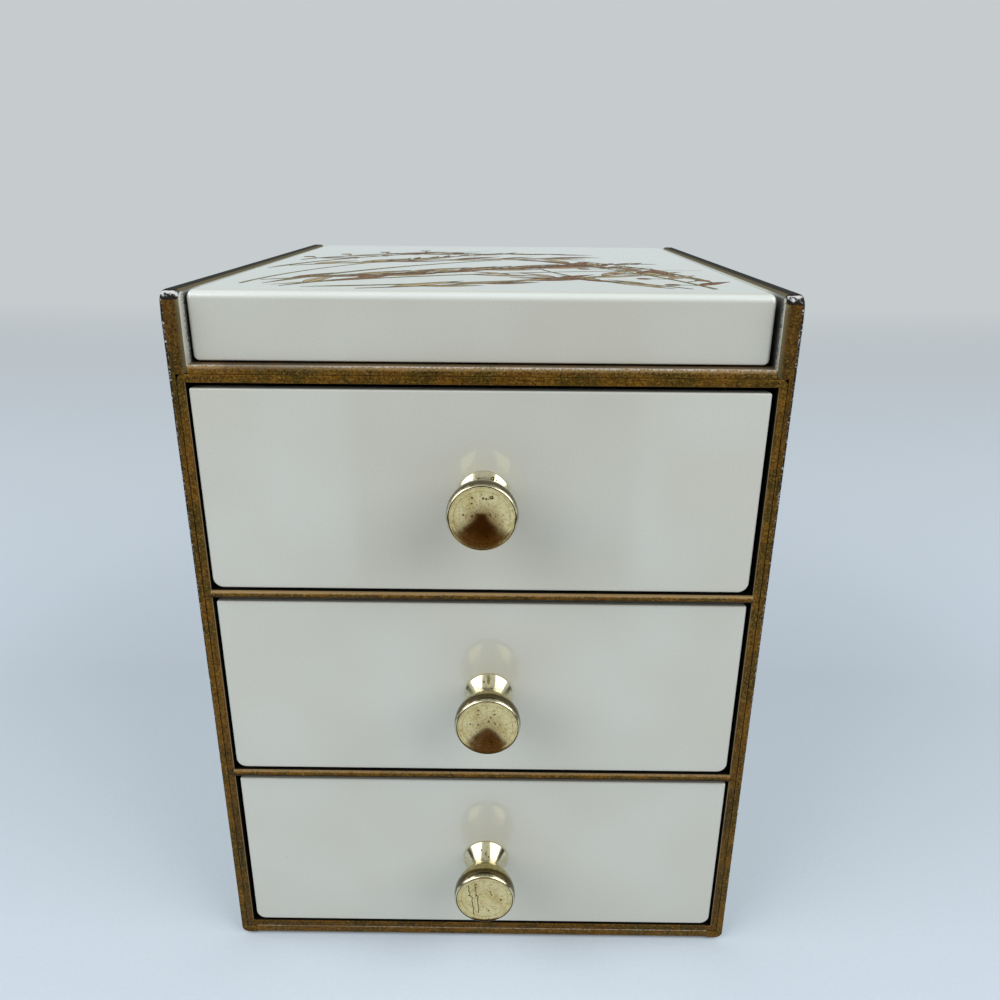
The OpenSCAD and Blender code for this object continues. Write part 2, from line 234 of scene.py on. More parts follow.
def cream_lacquer(tree, place, facing):
    """The colour of the cream lacquer with its painted edge highlight, and its orange peel."""
    clouds = add(tree, "TexNoise", {"Vector": place, "Scale": 1 / (22 * mm), "Detail": 1.0})
    paint = add(tree, "Mix", {0: add(tree, "MapRange", {0: clouds, 1: 0.35, 2: 0.65}),
                              6: colour(CREAM), 7: colour(CREAM_WARM)}, data_type="RGBA")
    stipple = add(tree, "TexNoise", {"Vector": place, "Scale": 1 / (0.3 * mm), "Detail": 2.0})
    paint = add(tree, "Mix", {0: 1.0, 6: paint, 7: add(tree, "MapRange", {
        0: stipple, 1: 0.3, 2: 0.7, 3: 0.96, 4: 1.04})}, data_type="RGBA", blend_type="MULTIPLY")
    dust = add(tree, "TexVoronoi", {"Vector": place, "Scale": 1 / (6 * mm)})
    lot = add(tree, "SeparateColor", {0: dust.outputs["Color"]})
    speck = add(tree, "Math", {0: add(tree, "MapRange", {0: dust, 1: 0.034, 2: 0.020}),
                               1: add(tree, "MapRange", {0: lot, 1: 0.82, 2: 0.84, 4: 0.6})},
                operation="MULTIPLY")
    paint = add(tree, "Mix", {0: speck, 6: paint, 7: colour(DUST)}, data_type="RGBA")
    up = add(tree, "SeparateXYZ", {0: facing}).outputs["Z"]
    height = add(tree, "SeparateXYZ", {0: place}).outputs["Z"]
    # Painted highlight: edges that turn partly upwards are lightened, faintly on the fronts and
    # more on the lid.
    thinning_and_highlight = add(tree, "Math", {0: add(tree, "MapRange", {0: up, 1: 0.1, 2: 0.6}),
                              1: add(tree, "MapRange", {0: up, 1: 0.98, 2: 0.85})},
               operation="MULTIPLY")
    thinning_and_highlight = add(tree, "Math", {0: thinning_and_highlight, 1: add(tree, "MapRange", {
        0: height, 1: LID_FOOT - 1 * mm, 2: LID_FOOT, 3: 0.15, 4: 0.55})}, operation="MULTIPLY")
    paint = add(tree, "Mix", {0: thinning_and_highlight, 6: paint, 7: colour(EDGE_HIGHLIGHT)}, data_type="RGBA")
    peel = add(tree, "TexNoise", {"Vector": place, "Scale": 1 / (2.2 * mm), "Detail": 1.0})
    return paint, peel


# Antique bronze: gold powder paint brushed along each edge over a dark ground. It
# streaks a little with the brush, the powder stands out in grains (drawn coarser
# than real ones, so that they show), and corners are rubbed back to the ground.
BRONZE = "#6C4A0C"
BRONZE_OLIVE = "#503D0A"
BRONZE_RED = "#583614"
BRONZE_GLINT = "#AC8640"
# The pale tan below is a painted highlight for noses and inner edges.
BRONZE_HIGHLIGHT = "#A08760"
# The dark ground below also serves as painted shade on corners and noses.
GROUND_AND_SHADE = "#17110A"
# The near white below is both bare specks of worn paint and a painted highlight.
RUBBED_AND_HIGHLIGHT = "#D6D9D8"
STREAK = 14
BRONZE_SHINE = 0.15


def bronze_paint(tree, place, brushed):
    """The colour of bronze paint brushed along one axis, and the height of its streaks."""
    drawn = add(tree, "Mapping", {0: place, 3: [1 / STREAK if axis == brushed else 1
                                                for axis in "XYZ"]})
    streaks = add(tree, "TexNoise", {"Vector": drawn, "Scale": 1 / (0.55 * mm), "Detail": 4.0})
    patches = add(tree, "TexNoise", {"Vector": place, "Scale": 1 / (5 * mm), "Detail": 3.0})
    powder = add(tree, "TexNoise", {"Vector": place, "Scale": 1 / (0.32 * mm), "Detail": 3.0})
    paint = add(tree, "Mix", {0: add(tree, "MapRange", {0: patches, 1: 0.42, 2: 0.58}),
                              6: colour(BRONZE), 7: colour(BRONZE_OLIVE)}, data_type="RGBA")
    paint = add(tree, "Mix", {0: add(tree, "MapRange", {0: streaks, 1: 0.52, 2: 0.66, 4: 0.5}),
                              6: paint, 7: colour(BRONZE_RED)}, data_type="RGBA")
    paint = add(tree, "Mix", {0: add(tree, "MapRange", {0: streaks, 1: 0.44, 2: 0.32, 4: 0.5}),
                              6: paint, 7: colour(GROUND_AND_SHADE)}, data_type="RGBA")
    paint = add(tree, "Mix", {0: add(tree, "MapRange", {0: powder, 1: 0.46, 2: 0.34, 4: 0.65}),
                              6: paint, 7: colour(GROUND_AND_SHADE)}, data_type="RGBA")
    paint = add(tree, "Mix", {0: add(tree, "MapRange", {0: powder, 1: 0.54, 2: 0.70, 4: 0.5}),
                              6: paint, 7: colour(BRONZE_GLINT)}, data_type="RGBA")
    return paint, streaks


def rubbed_through(tree, place, paint, rim):
    """Paint rubbed off where rim is 1: ragged patches of dark ground with bare specks."""
    ragged = add(tree, "TexNoise", {"Vector": place, "Scale": 1 / (0.6 * mm), "Detail": 4.0})
    specks = add(tree, "TexNoise", {"Vector": place, "Scale": 1 / (0.3 * mm), "Detail": 3.0})
    reach = add(tree, "Math", {0: rim, 1: ragged}, operation="MULTIPLY")
    bare_specks_and_highlight = add(tree, "Math", {0: add(tree, "MapRange", {0: specks, 1: 0.57, 2: 0.66, 4: 0.8}),
                              1: rim}, operation="MULTIPLY")
    paint = add(tree, "Mix", {0: add(tree, "MapRange", {0: reach, 1: 0.26, 2: 0.40}),
                              6: paint, 7: colour(GROUND_AND_SHADE)}, data_type="RGBA")
    return add(tree, "Mix", {0: bare_specks_and_highlight, 6: paint, 7: colour(RUBBED_AND_HIGHLIGHT)}, data_type="RGBA")


case_low, case_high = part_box("right_side_panel")
frames_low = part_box("lower_frame")[0]
frames_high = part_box("upper_frame")[1]
FRONT = case_low.y
EAR_TOP_SHADE = "#16130B"
EAR_LIP = "#6E654A"
GAP_SHADE = "#34332F"
EAR_CORNER = 2.2 * mm
FOOT_CORNER = 1.6 * mm
PAINTED_EDGE = 0.45 * mm
EAR_TOP_EDGE = 0.85 * mm
SEAM = 0.2 * mm
SKIN = 1.0 * mm
PIN_HOLE = 1.02 * mm
PIN_DRILL = 10 * mm

# Where a shade begins and ends: the pale lip and the painted shade in the gap, in
# from the outer face, and the darker bronze, up from the foot.
LIP = (2.5 * mm, 2.9 * mm)
INSIDE = (2.8 * mm, 3.1 * mm)
DARKER = (80 * mm, 138 * mm)

panel_finish, tree, place, facing = new_finish("cream lacquer with bronze edges")
face = add(tree, "SeparateXYZ", {0: facing})
spot = add(tree, "SeparateXYZ", {0: place})
cream, peel = cream_lacquer(tree, place, facing)
bronze, streaks = bronze_paint(tree, place, "Z")
to_front = add(tree, "MapRange", {0: face.outputs["Y"], 1: -0.25, 2: -0.55})
to_top = add(tree, "MapRange", {0: face.outputs["Z"], 1: 0.30, 2: 0.60})
painted = add(tree, "Math", {0: to_front, 1: to_top}, operation="MAXIMUM")
sideways = add(tree, "Math", {0: face.outputs["X"]}, operation="ABSOLUTE")
out_wide = add(tree, "Math", {0: spot.outputs["X"]}, operation="ABSOLUTE")
at_seam = add(tree, "MapRange", {0: out_wide, 1: case_high.x - SKIN + 0.1 * mm,
                                 2: case_high.x - SKIN})
above = add(tree, "MapRange", {0: spot.outputs["Z"], 1: frames_high.z,
                               2: frames_high.z + 0.2 * mm})
not_seam = add(tree, "Math", {0: add(tree, "Math", {0: 1.0, 1: at_seam}, operation="SUBTRACT"),
                              1: above}, operation="MAXIMUM")
turned_away = add(tree, "MapRange", {0: sideways, 1: 0.15, 2: 0.45})
outward = add(tree, "Math", {0: add(tree, "Math", {0: spot.outputs["X"]}, operation="SIGN"),
                             1: face.outputs["X"]}, operation="MULTIPLY")
on_rim = add(tree, "MapRange", {0: outward, 1: 0.1, 2: 0.4})
by_lip = add(tree, "MapRange", {0: out_wide, 1: case_high.x - LIP[0], 2: case_high.x - LIP[1],
                                4: 0.5})
inner_rim = add(tree, "Math", {0: add(tree, "MapRange", {0: outward, 1: -0.1, 2: -0.5, 4: 0.8}),
                               1: by_lip}, operation="MAXIMUM")
inner_rim = add(tree, "Math", {0: inner_rim, 1: above}, operation="MULTIPLY")
in_seam = add(tree, "Math", {0: turned_away, 1: add(tree, "Math", {0: 1.0, 1: not_seam},
                                                    operation="SUBTRACT")}, operation="MULTIPLY")
forward = add(tree, "Math", {0: face.outputs["Y"], 1: -1.0}, operation="MULTIPLY")
on_corner = add(tree, "MapRange", {0: add(tree, "Math", {0: forward, 1: face.outputs["Z"]},
                                          operation="MINIMUM"), 1: 0.15, 2: 0.45})
bronze = add(tree, "Mix", {0: add(tree, "MapRange", {0: spot.outputs["Z"], 1: DARKER[0],
                                                     2: DARKER[1], 4: 0.35}),
                           6: bronze, 7: colour(GROUND_AND_SHADE)}, data_type="RGBA")
# Painted shade: the ears' top faces are darkened almost to black.
bronze = add(tree, "Mix", {0: to_top, 6: bronze, 7: colour(EAR_TOP_SHADE)}, data_type="RGBA")
bronze = add(tree, "Mix", {0: inner_rim, 6: bronze, 7: colour(EAR_LIP)}, data_type="RGBA")
# Painted shade and highlight on the ears' rounded front-top corners: a dark band low on the arc, a
# near-white band higher up, broken by noise.
silver = add(tree, "TexNoise", {"Vector": place, "Scale": 1 / (1.0 * mm), "Detail": 6.0})
bare_specks_and_highlight = add(tree, "Math", {0: silver, 1: add(tree, "MapRange", {
    0: face.outputs["Z"], 1: 0.3, 2: 0.75, 3: -0.14, 4: 0.1})}, operation="ADD")
bronze = rubbed_through(tree, place, bronze, on_rim)
bronze = add(tree, "Mix", {0: add(tree, "MapRange", {0: add(tree, "Math", {
    0: on_corner, 1: silver}, operation="MULTIPLY"), 1: 0.16, 2: 0.28}),
    6: bronze, 7: colour(GROUND_AND_SHADE)}, data_type="RGBA")
bronze = add(tree, "Mix", {0: add(tree, "MapRange", {0: add(tree, "Math", {
    0: on_corner, 1: bare_specks_and_highlight}, operation="MULTIPLY"), 1: 0.46, 2: 0.58, 4: 0.85}),
    6: bronze, 7: colour(RUBBED_AND_HIGHLIGHT)}, data_type="RGBA")
bronze = add(tree, "Mix", {0: in_seam, 6: bronze, 7: colour(GROUND_AND_SHADE)}, data_type="RGBA")
# Painted shade: the ears' inner faces darken deeper into the gap beside the lid, less on the left,
# broken up by a fine noise.
gap_shade_noise = add(tree, "TexNoise", {"Vector": place, "Scale": 1 / (0.3 * mm), "Detail": 4.0})
left_less = add(tree, "MapRange", {0: spot.outputs["X"], 1: -1 * mm, 2: 1 * mm,
                                   3: -1.2 * mm, 4: 0})
deep = add(tree, "Math", {0: gap_shade_noise, 1: 6.0 * mm, 2: spot.outputs["Y"]}, operation="MULTIPLY_ADD")
deep = add(tree, "Math", {0: deep, 1: left_less}, operation="ADD")
deep = add(tree, "Math", {0: add(tree, "MapRange", {0: deep, 1: FRONT + 3.8 * mm,
                                                    2: FRONT + 4.7 * mm, 4: 0.92}),
                          1: add(tree, "MapRange", {0: spot.outputs["Y"], 1: FRONT + 12 * mm,
                                                    2: FRONT + 5 * mm})}, operation="MULTIPLY")
inside = add(tree, "MapRange", {0: out_wide, 1: case_high.x - INSIDE[0],
                                2: case_high.x - INSIDE[1]})
cream = add(tree, "Mix", {0: add(tree, "Math", {0: deep, 1: inside}, operation="MULTIPLY"),
                          6: cream, 7: colour(GAP_SHADE)}, data_type="RGBA")
housed = add(tree, "Math", {0: at_seam, 1: above}, operation="SUBTRACT", use_clamp=True)
cream = add(tree, "Mix", {0: housed, 6: cream, 7: colour(GROUND_AND_SHADE)}, data_type="RGBA")
surface = add(tree, "Mix", {0: painted, 2: peel, 3: streaks})
shader = add(tree, "BsdfPrincipled", {
    "Base Color": add(tree, "Mix", {0: painted, 6: cream, 7: bronze}, data_type="RGBA").outputs[2],
    "Metallic": add(tree, "Math", {0: add(tree, "Math", {0: painted, 1: to_top},
                                          operation="SUBTRACT"),
                                   1: 0.35}, operation="MULTIPLY", use_clamp=True),
    "Roughness": add(tree, "MapRange", {0: add(tree, "Math", {0: painted, 1: to_top},
                                               operation="ADD"), 2: 2.0, 3: 0.32, 4: 0.75}),
    "Specular IOR Level": BRONZE_SHINE,
    "Coat Weight": add(tree, "MapRange", {0: painted, 3: 1.0, 4: 0.0}),
    "Coat Roughness": 0.04,
    "Normal": add(tree, "Bump", {"Height": surface, "Strength": 0.1, "Distance": 0.05 * mm})})
add(tree, "OutputMaterial", {"Surface": shader})

for name in ("left_side_panel", "right_side_panel"):
    low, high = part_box(name)
    right = low.x > 0
    outer, inner = (high.x, low.x) if right else (low.x, high.x)
    housing = frames_high.x if right else frames_low.x
    pin_low, pin_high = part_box(name.replace("side_panel", "hinge_pin"))
    panel = facing_front(name + "_board", low, high, low.y)
    saw(panel, "x", [housing])
    saw(panel, "z", [frames_low.z, frames_high.z])
    pick(panel, "FACE", lambda part: frames_low.z < part.calc_center_median().z < frames_high.z
         and abs(part.calc_center_median().x) < abs(housing))
    bpy.ops.mesh.delete(type="FACE")
    push(panel, (0, high.y - low.y, 0), lambda part: True)
    tidy(panel)
    round_off(panel, EAR_CORNER, lambda edge: lies(edge, y=low.y, z=high.z), steps=8)
    round_off(panel, FOOT_CORNER, lambda edge: lies(edge, x=outer, z=low.z), steps=6)
    soften(panel, lambda edge: (
        0 if not sharp(edge) or not (lies(edge, x=outer) or lies(edge, x=inner))
        else EAR_TOP_EDGE if min(point.co.z for point in edge.verts) > high.z - EAR_CORNER
        else PAINTED_EDGE if lies(edge, x=outer) or min(
            point.co.z for point in edge.verts) > frames_high.z - NEAR else 0), steps=5)
    round_off(panel, SEAM, lambda edge: lies(edge, x=housing, y=low.y) and sharp(edge), steps=3)
    bore(panel, (outer, *((pin_low + pin_high) / 2).yz), PIN_HOLE, PIN_DRILL)
    finish_off(panel, panel_finish)
    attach(panel, "cabinet")
    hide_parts(name)


# ------------------------------------------------- bottom panel, deck and back
# Thin boards glued between the side panels. The bottom and the deck show only
# their bronze-painted front edges; the back is lacquered cream.

BLACK_PLASTIC = "#0D0C0B"
PAINT_REACH = 4 * mm
DECK_NOSE = 0.9 * mm
TOP_CORNER = 1.2 * mm
BACK_EDGE = 0.4 * mm

rail_finish, tree, place, facing = new_finish("antique bronze paint on a rail")
face = add(tree, "SeparateXYZ", {0: facing})
spot = add(tree, "SeparateXYZ", {0: place})
bronze, streaks = bronze_paint(tree, place, "X")
brush = add(tree, "TexNoise", {"Vector": place, "Scale": 1 / (1.5 * mm), "Detail": 2.0})
reach = add(tree, "Math", {0: brush, 1: 1.2 * mm, 2: spot.outputs["Y"]},
            operation="MULTIPLY_ADD")
painted = add(tree, "MapRange", {0: reach, 1: FRONT + PAINT_REACH,
                                 2: FRONT + PAINT_REACH - 0.3 * mm})
ragged = add(tree, "TexNoise", {"Vector": place, "Scale": 1 / (0.35 * mm), "Detail": 4.0})
# Painted highlight: the upward-facing part of each nose is lightened to pale tan with near-white
# sparks, less on a flat top.
tilt = add(tree, "Math", {0: ragged, 1: 1.4, 2: face.outputs["Z"]}, operation="MULTIPLY_ADD")
not_flat = add(tree, "MapRange", {0: face.outputs["Z"], 1: 0.99, 2: 0.90, 3: 0.15, 4: 1.0})
nose_highlight = add(tree, "Math", {0: add(tree, "MapRange", {0: tilt, 1: 0.75, 2: 1.6, 4: 0.8}),
                           1: not_flat}, operation="MULTIPLY")
bronze = add(tree, "Mix", {0: nose_highlight, 6: bronze, 7: colour(BRONZE_HIGHLIGHT)}, data_type="RGBA")
nose_sparks = add(tree, "Math", {0: add(tree, "MapRange", {0: tilt, 1: 1.42, 2: 1.62, 4: 0.6}),
                            1: not_flat}, operation="MULTIPLY")
bronze = add(tree, "Mix", {0: nose_sparks, 6: bronze, 7: colour(RUBBED_AND_HIGHLIGHT)}, data_type="RGBA")
on_top = add(tree, "MapRange", {0: face.outputs["Z"], 1: 0.05, 2: 0.4})
handled = add(tree, "MapRange", {0: spot.outputs["X"], 1: -18 * mm, 2: -38 * mm, 4: 0.8})
past_end = add(tree, "MapRange", {0: spot.outputs["X"], 1: -46 * mm, 2: -44 * mm})
worn = add(tree, "Math", {0: add(tree, "Math", {0: handled, 1: past_end}, operation="MULTIPLY"),
                          1: on_top}, operation="MULTIPLY")
worn = add(tree, "Math", {0: add(tree, "MapRange", {0: ragged, 1: 0.42, 2: 0.54, 4: 0.8}),
                          1: worn}, operation="MULTIPLY")
bronze = add(tree, "Mix", {0: worn, 6: bronze, 7: colour(GROUND_AND_SHADE)}, data_type="RGBA")
shader = add(tree, "BsdfPrincipled", {
    "Base Color": add(tree, "Mix", {0: painted, 6: colour(BLACK_PLASTIC), 7: bronze},
                      data_type="RGBA").outputs[2],
    "Metallic": add(tree, "MapRange", {0: painted, 4: 0.35}),
    "Roughness": 0.45, "Specular IOR Level": BRONZE_SHINE,
    "Normal": add(tree, "Bump", {"Height": streaks, "Strength": 0.1, "Distance": 0.05 * mm})})
add(tree, "OutputMaterial", {"Surface": shader})

cream_finish, tree, place, facing = new_finish("cream lacquer")
cream, peel = cream_lacquer(tree, place, facing)
shader = add(tree, "BsdfPrincipled", {
    "Base Color": cream, "Roughness": 0.32, "Coat Weight": 1.0, "Coat Roughness": 0.03,
    "Normal": add(tree, "Bump", {"Height": peel, "Strength": 0.06, "Distance": 0.02 * mm})})
add(tree, "OutputMaterial", {"Surface": shader})

low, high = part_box("bottom_panel")
bottom = block("bottom_board", low, high)
round_off(bottom, PAINTED_EDGE, lambda edge: lies(edge, y=low.y, z=low.z))
round_off(bottom, SEAM, lambda edge: lies(edge, y=low.y, z=high.z), steps=3)
finish_off(bottom, rail_finish)
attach(bottom, "cabinet")
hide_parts("bottom_panel")

low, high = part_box("deck")
deck = block("deck_board", low, high)
round_off(deck, DECK_NOSE, lambda edge: lies(edge, y=low.y, z=high.z), steps=8)
round_off(deck, SEAM, lambda edge: lies(edge, y=low.y, z=low.z), steps=3)
finish_off(deck, rail_finish)
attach(deck, "cabinet")
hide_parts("deck")

low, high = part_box("back_panel")
back = block("back_board", low, high)
round_off(back, TOP_CORNER, lambda edge: lies(edge, x=low.x, z=high.z)
          or lies(edge, x=high.x, z=high.z), steps=5)
round_off(back, BACK_EDGE, lambda edge: lies(edge, y=high.y) and sharp(edge), steps=3)
finish_off(back, cream_finish)
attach(back, "cabinet")
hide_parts("back_panel")


# ------------------------------------------------------------- drawer frames
# Three frames moulded in black plastic and stacked between the boards. The two
# upper shelves end in a rounded nose. The front edges are painted bronze, and
# behind them the plastic stays black.

SHELF = 1.5 * mm
NOSE = 0.7 * mm

frame_finish, tree, place, facing = new_finish("black plastic with bronze front edges")
face = add(tree, "SeparateXYZ", {0: facing})
spot = add(tree, "SeparateXYZ", {0: place})
upright, streaks = bronze_paint(tree, place, "Z")
level, _ = bronze_paint(tree, place, "X")
out_wide = add(tree, "Math", {0: spot.outputs["X"]}, operation="ABSOLUTE")
on_wall = add(tree, "MapRange", {0: out_wide, 1: frames_high.x - SHELF - 0.1 * mm,
                                 2: frames_high.x - SHELF})
bronze = add(tree, "Mix", {0: on_wall, 6: level, 7: upright}, data_type="RGBA")
to_front = add(tree, "MapRange", {0: face.outputs["Y"], 1: -0.15, 2: -0.4})
on_nose = add(tree, "MapRange", {0: spot.outputs["Y"], 1: FRONT + 0.02 * mm,
                                 2: FRONT - 0.02 * mm})
painted = add(tree, "Math", {0: to_front, 1: on_nose}, operation="MAXIMUM")
# Painted highlight and shade on the noses: the upper half lightened to pale tan, the lower half
# darkened, the lower shelves less lit.
ragged = add(tree, "TexNoise", {"Vector": place, "Scale": 1 / (0.5 * mm), "Detail": 5.0})
tilt = add(tree, "Math", {0: ragged, 1: 0.8, 2: face.outputs["Z"]}, operation="MULTIPLY_ADD")
tilt = add(tree, "Math", {0: tilt, 1: add(tree, "MapRange", {0: spot.outputs["Z"], 1: 80 * mm,
                                                             2: 50 * mm, 4: 0.3})},
           operation="SUBTRACT")
frame_nose_highlight = add(tree, "Math", {0: add(tree, "MapRange", {0: tilt, 1: 0.65, 2: 1.1, 4: 0.8}),
                          1: on_nose}, operation="MULTIPLY")
bronze = add(tree, "Mix", {0: frame_nose_highlight, 6: bronze, 7: colour(BRONZE_HIGHLIGHT)}, data_type="RGBA")
frame_nose_shade = add(tree, "Math", {0: add(tree, "MapRange", {0: tilt, 1: 0.30, 2: 0.05, 4: 0.7}),
                           1: on_nose}, operation="MULTIPLY")
bronze = add(tree, "Mix", {0: frame_nose_shade, 6: bronze, 7: colour(GROUND_AND_SHADE)}, data_type="RGBA")
turned_away = add(tree, "MapRange", {0: add(tree, "Math", {0: face.outputs["X"]},
                                            operation="ABSOLUTE"), 1: 0.2, 2: 0.6})
inner_edge = add(tree, "MapRange", {0: out_wide, 1: frames_high.x - SHELF + 0.4 * mm,
                                    2: frames_high.x - SHELF + 0.3 * mm})
bronze = add(tree, "Mix", {0: turned_away, 6: bronze, 7: colour(GROUND_AND_SHADE)}, data_type="RGBA")
# Painted highlight along the inner edges of the side walls.
lit = add(tree, "Math", {0: turned_away, 1: inner_edge}, operation="MULTIPLY")
bronze = add(tree, "Mix", {0: add(tree, "Math", {0: lit, 1: 0.7}, operation="MULTIPLY"),
                           6: bronze, 7: colour(BRONZE_HIGHLIGHT)}, data_type="RGBA")
pits = add(tree, "TexNoise", {"Vector": place, "Scale": 1 / (0.25 * mm), "Detail": 1.0})
shader = add(tree, "BsdfPrincipled", {
    "Base Color": add(tree, "Mix", {0: painted, 6: colour(BLACK_PLASTIC), 7: bronze},
                      data_type="RGBA").outputs[2],
    "Metallic": add(tree, "MapRange", {0: painted, 4: 0.35}),
    "Roughness": add(tree, "MapRange", {0: painted, 3: 0.5, 4: 0.45}),
    "Specular IOR Level": BRONZE_SHINE,
    "Normal": add(tree, "Bump", {"Height": add(tree, "Mix", {0: painted, 2: pits, 3: streaks}),
                                 "Strength": 0.1, "Distance": 0.05 * mm})})
add(tree, "OutputMaterial", {"Surface": shader})

for name in ("upper_frame", "middle_frame", "lower_frame"):
    low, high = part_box(name)
    roofed = name == "upper_frame"
    frame_shell = facing_front(name + "_moulding", low, high, FRONT)
    ceiling = high.z - SHELF if roofed else high.z
    saw(frame_shell, "x", [low.x + SHELF, high.x - SHELF])
    saw(frame_shell, "z", [low.z + SHELF, ceiling] if roofed else [low.z + SHELF])
    pick(frame_shell, "FACE", lambda part: low.z + SHELF < part.calc_center_median().z < ceiling
         and abs(part.calc_center_median().x) < high.x - SHELF)
    bpy.ops.mesh.delete(type="FACE")
    push(frame_shell, (0, high.y - FRONT, 0), lambda part: True)
    pick(frame_shell, "FACE", lambda part: True)
    bpy.ops.mesh.normals_make_consistent(inside=False)
    if low.y < FRONT - 0.1 * mm:
        push(frame_shell, (0, -NOSE, 0), lambda part: lies(part, y=FRONT)
             and part.calc_center_median().z < low.z + SHELF
             and abs(part.calc_center_median().x) < high.x - SHELF)
    tidy(frame_shell)
    round_off(frame_shell, NOSE, lambda edge: lies(edge, y=FRONT - NOSE)
              and (lies(edge, z=low.z) or lies(edge, z=low.z + SHELF)), steps=7)
    if roofed:
        round_off(frame_shell, TOP_CORNER, lambda edge: lies(edge, x=low.x, z=high.z)
                  or lies(edge, x=high.x, z=high.z), steps=5)
    round_off(frame_shell, SEAM, lambda edge: lies(edge, y=FRONT) and sharp(edge), steps=3)
    finish_off(frame_shell, frame_finish)
    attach(frame_shell, "cabinet")
    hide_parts(name)


# ---------------------------------------------------------------- felt pieces
# Pressed wool felt, glued under the chest, on the deck under the lid and in each
# drawer: matt, with fibres that lie every way and a nap that is worn unevenly.

NAP = 0.05 * mm
FIBRE = 0.35 * mm
CELL = 3 * mm
CUT_EDGE = 0.25 * mm
WOOL_BROWN = ("#6E4A38", "#2F1C14")
WOOL_BLACK = ("#2B2A29", "#0C0B0B")


def wool_felt(name, light, dark):
    """Pressed wool: fibres drawn coarser than real ones, so that they still show."""
    material, tree, place, _ = new_finish(name)
    one_way = add(tree, "TexNoise", {"Vector": add(tree, "Mapping", {0: place, 3: (0.3, 1, 1)}),
                                     "Scale": 1 / FIBRE, "Detail": 4.0})
    other_way = add(tree, "TexNoise", {"Vector": add(tree, "Mapping", {0: place, 3: (1, 0.3, 1)}),
                                       "Scale": 1 / FIBRE, "Detail": 4.0})
    nap = add(tree, "Math", {0: one_way, 1: other_way}, operation="ADD")
    worn = add(tree, "TexNoise", {"Vector": place, "Scale": 1 / (18 * mm), "Detail": 2.0})
    wool = add(tree, "Mix", {0: add(tree, "MapRange", {0: nap, 1: 0.8, 2: 1.2}),
                             6: colour(dark), 7: colour(light)}, data_type="RGBA")
    wool = add(tree, "Mix", {0: add(tree, "MapRange", {0: worn, 1: 0.4, 2: 0.7, 4: 0.3}),
                             6: wool, 7: colour(light)}, data_type="RGBA")
    shader = add(tree, "BsdfPrincipled", {
        "Base Color": wool.outputs[2], "Roughness": 0.95, "Sheen Weight": 0.3,
        "Sheen Roughness": 0.5,
        "Normal": add(tree, "Bump", {"Height": nap, "Strength": 0.6, "Distance": 0.15 * mm})})
    add(tree, "OutputMaterial", {"Surface": shader})
    return material


def lay_felt(name, node, body, corner, finish):
    """A sheet cut to its place, with rounded corners and a face that isn't quite flat."""
    low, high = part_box(node)
    felt = block(name, low, high)
    round_off(felt, corner, lambda edge: sharp(edge) and not lies(edge, z=low.z)
              and not lies(edge, z=high.z), steps=5)
    round_off(felt, CUT_EDGE, lambda edge: lies(edge, z=high.z) and sharp(edge), steps=3)
    saw(felt, "x", [low.x + i * CELL for i in range(1, round((high.x - low.x) / CELL))])
    saw(felt, "y", [low.y + i * CELL for i in range(1, round((high.y - low.y) / CELL))])
    mesh = bmesh.from_edit_mesh(felt.data)
    for point in mesh.verts:
        if point.co.z > high.z - NEAR:
            point.co.z -= NAP * (1 + noise.noise(point.co / (9 * mm)))
    finish_off(felt, finish)
    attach(felt, body)
    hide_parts(node)


lining = wool_felt("brown wool felt", *WOOL_BROWN)
under_felt = wool_felt("black wool felt", *WOOL_BLACK)
lay_felt("base_felt_sheet", "base_felt", "cabinet", 2 * mm, under_felt)
lay_felt("deck_felt_sheet", "deck_felt", "cabinet", 1.5 * mm, lining)


# ---------------------------------------------------------------- hinge pins
# Two short pins cut from drawn brass wire and pressed through the ears into the
# lid's rear edge, each sunk just under the lacquer. Their ends are a little dull.

BRASS = "#E4D29C"
BRASS_DULL = "#CDB477"
PIN_CHAMFER = 0.15 * mm


def turned_piece(name, profile, middle, along):
    """Turns a profile of (radius, distance) pairs on a lathe, along an axis from a point."""
    bpy.ops.object.select_all(action="DESELECT")
    along, middle = Vector(along), Vector(middle)
    out = Vector((0, 0, 1))
    places = [middle + out * radius + along * distance for radius, distance in profile]
    bpy.ops.mesh.primitive_plane_add(size=1 * mm, location=places[0])
    piece = bpy.context.object
    piece.name = piece.data.name = name
    bpy.ops.object.transform_apply()
    pick(piece, "VERT", lambda point: True)
    bpy.ops.mesh.merge(type="CENTER")
    for before, after in zip(places, places[1:]):
        bpy.ops.mesh.extrude_vertices_move(TRANSFORM_OT_translate={"value": after - before})
    pick(piece, "VERT", lambda point: True)
    bpy.ops.mesh.spin(steps=96, angle=2 * pi, center=middle, axis=along)
    pick(piece, "VERT", lambda point: True)
    bpy.ops.mesh.remove_doubles(threshold=0.002 * mm)
    return piece


pin_finish, tree, place, _ = new_finish("drawn brass wire")
tarnish = add(tree, "TexNoise", {"Vector": place, "Scale": 1 / (0.8 * mm), "Detail": 4.0})
shader = add(tree, "BsdfPrincipled", {
    "Base Color": add(tree, "Mix", {0: add(tree, "MapRange", {0: tarnish, 1: 0.4, 2: 0.6}),
                                    6: colour(BRASS), 7: colour(BRASS_DULL)},
                      data_type="RGBA").outputs[2],
    "Metallic": 1.0, "Roughness": add(tree, "MapRange", {0: tarnish, 3: 0.15, 4: 0.4}),
    "Normal": add(tree, "Bump", {"Height": tarnish, "Strength": 0.1, "Distance": 0.03 * mm})})
add(tree, "OutputMaterial", {"Surface": shader})

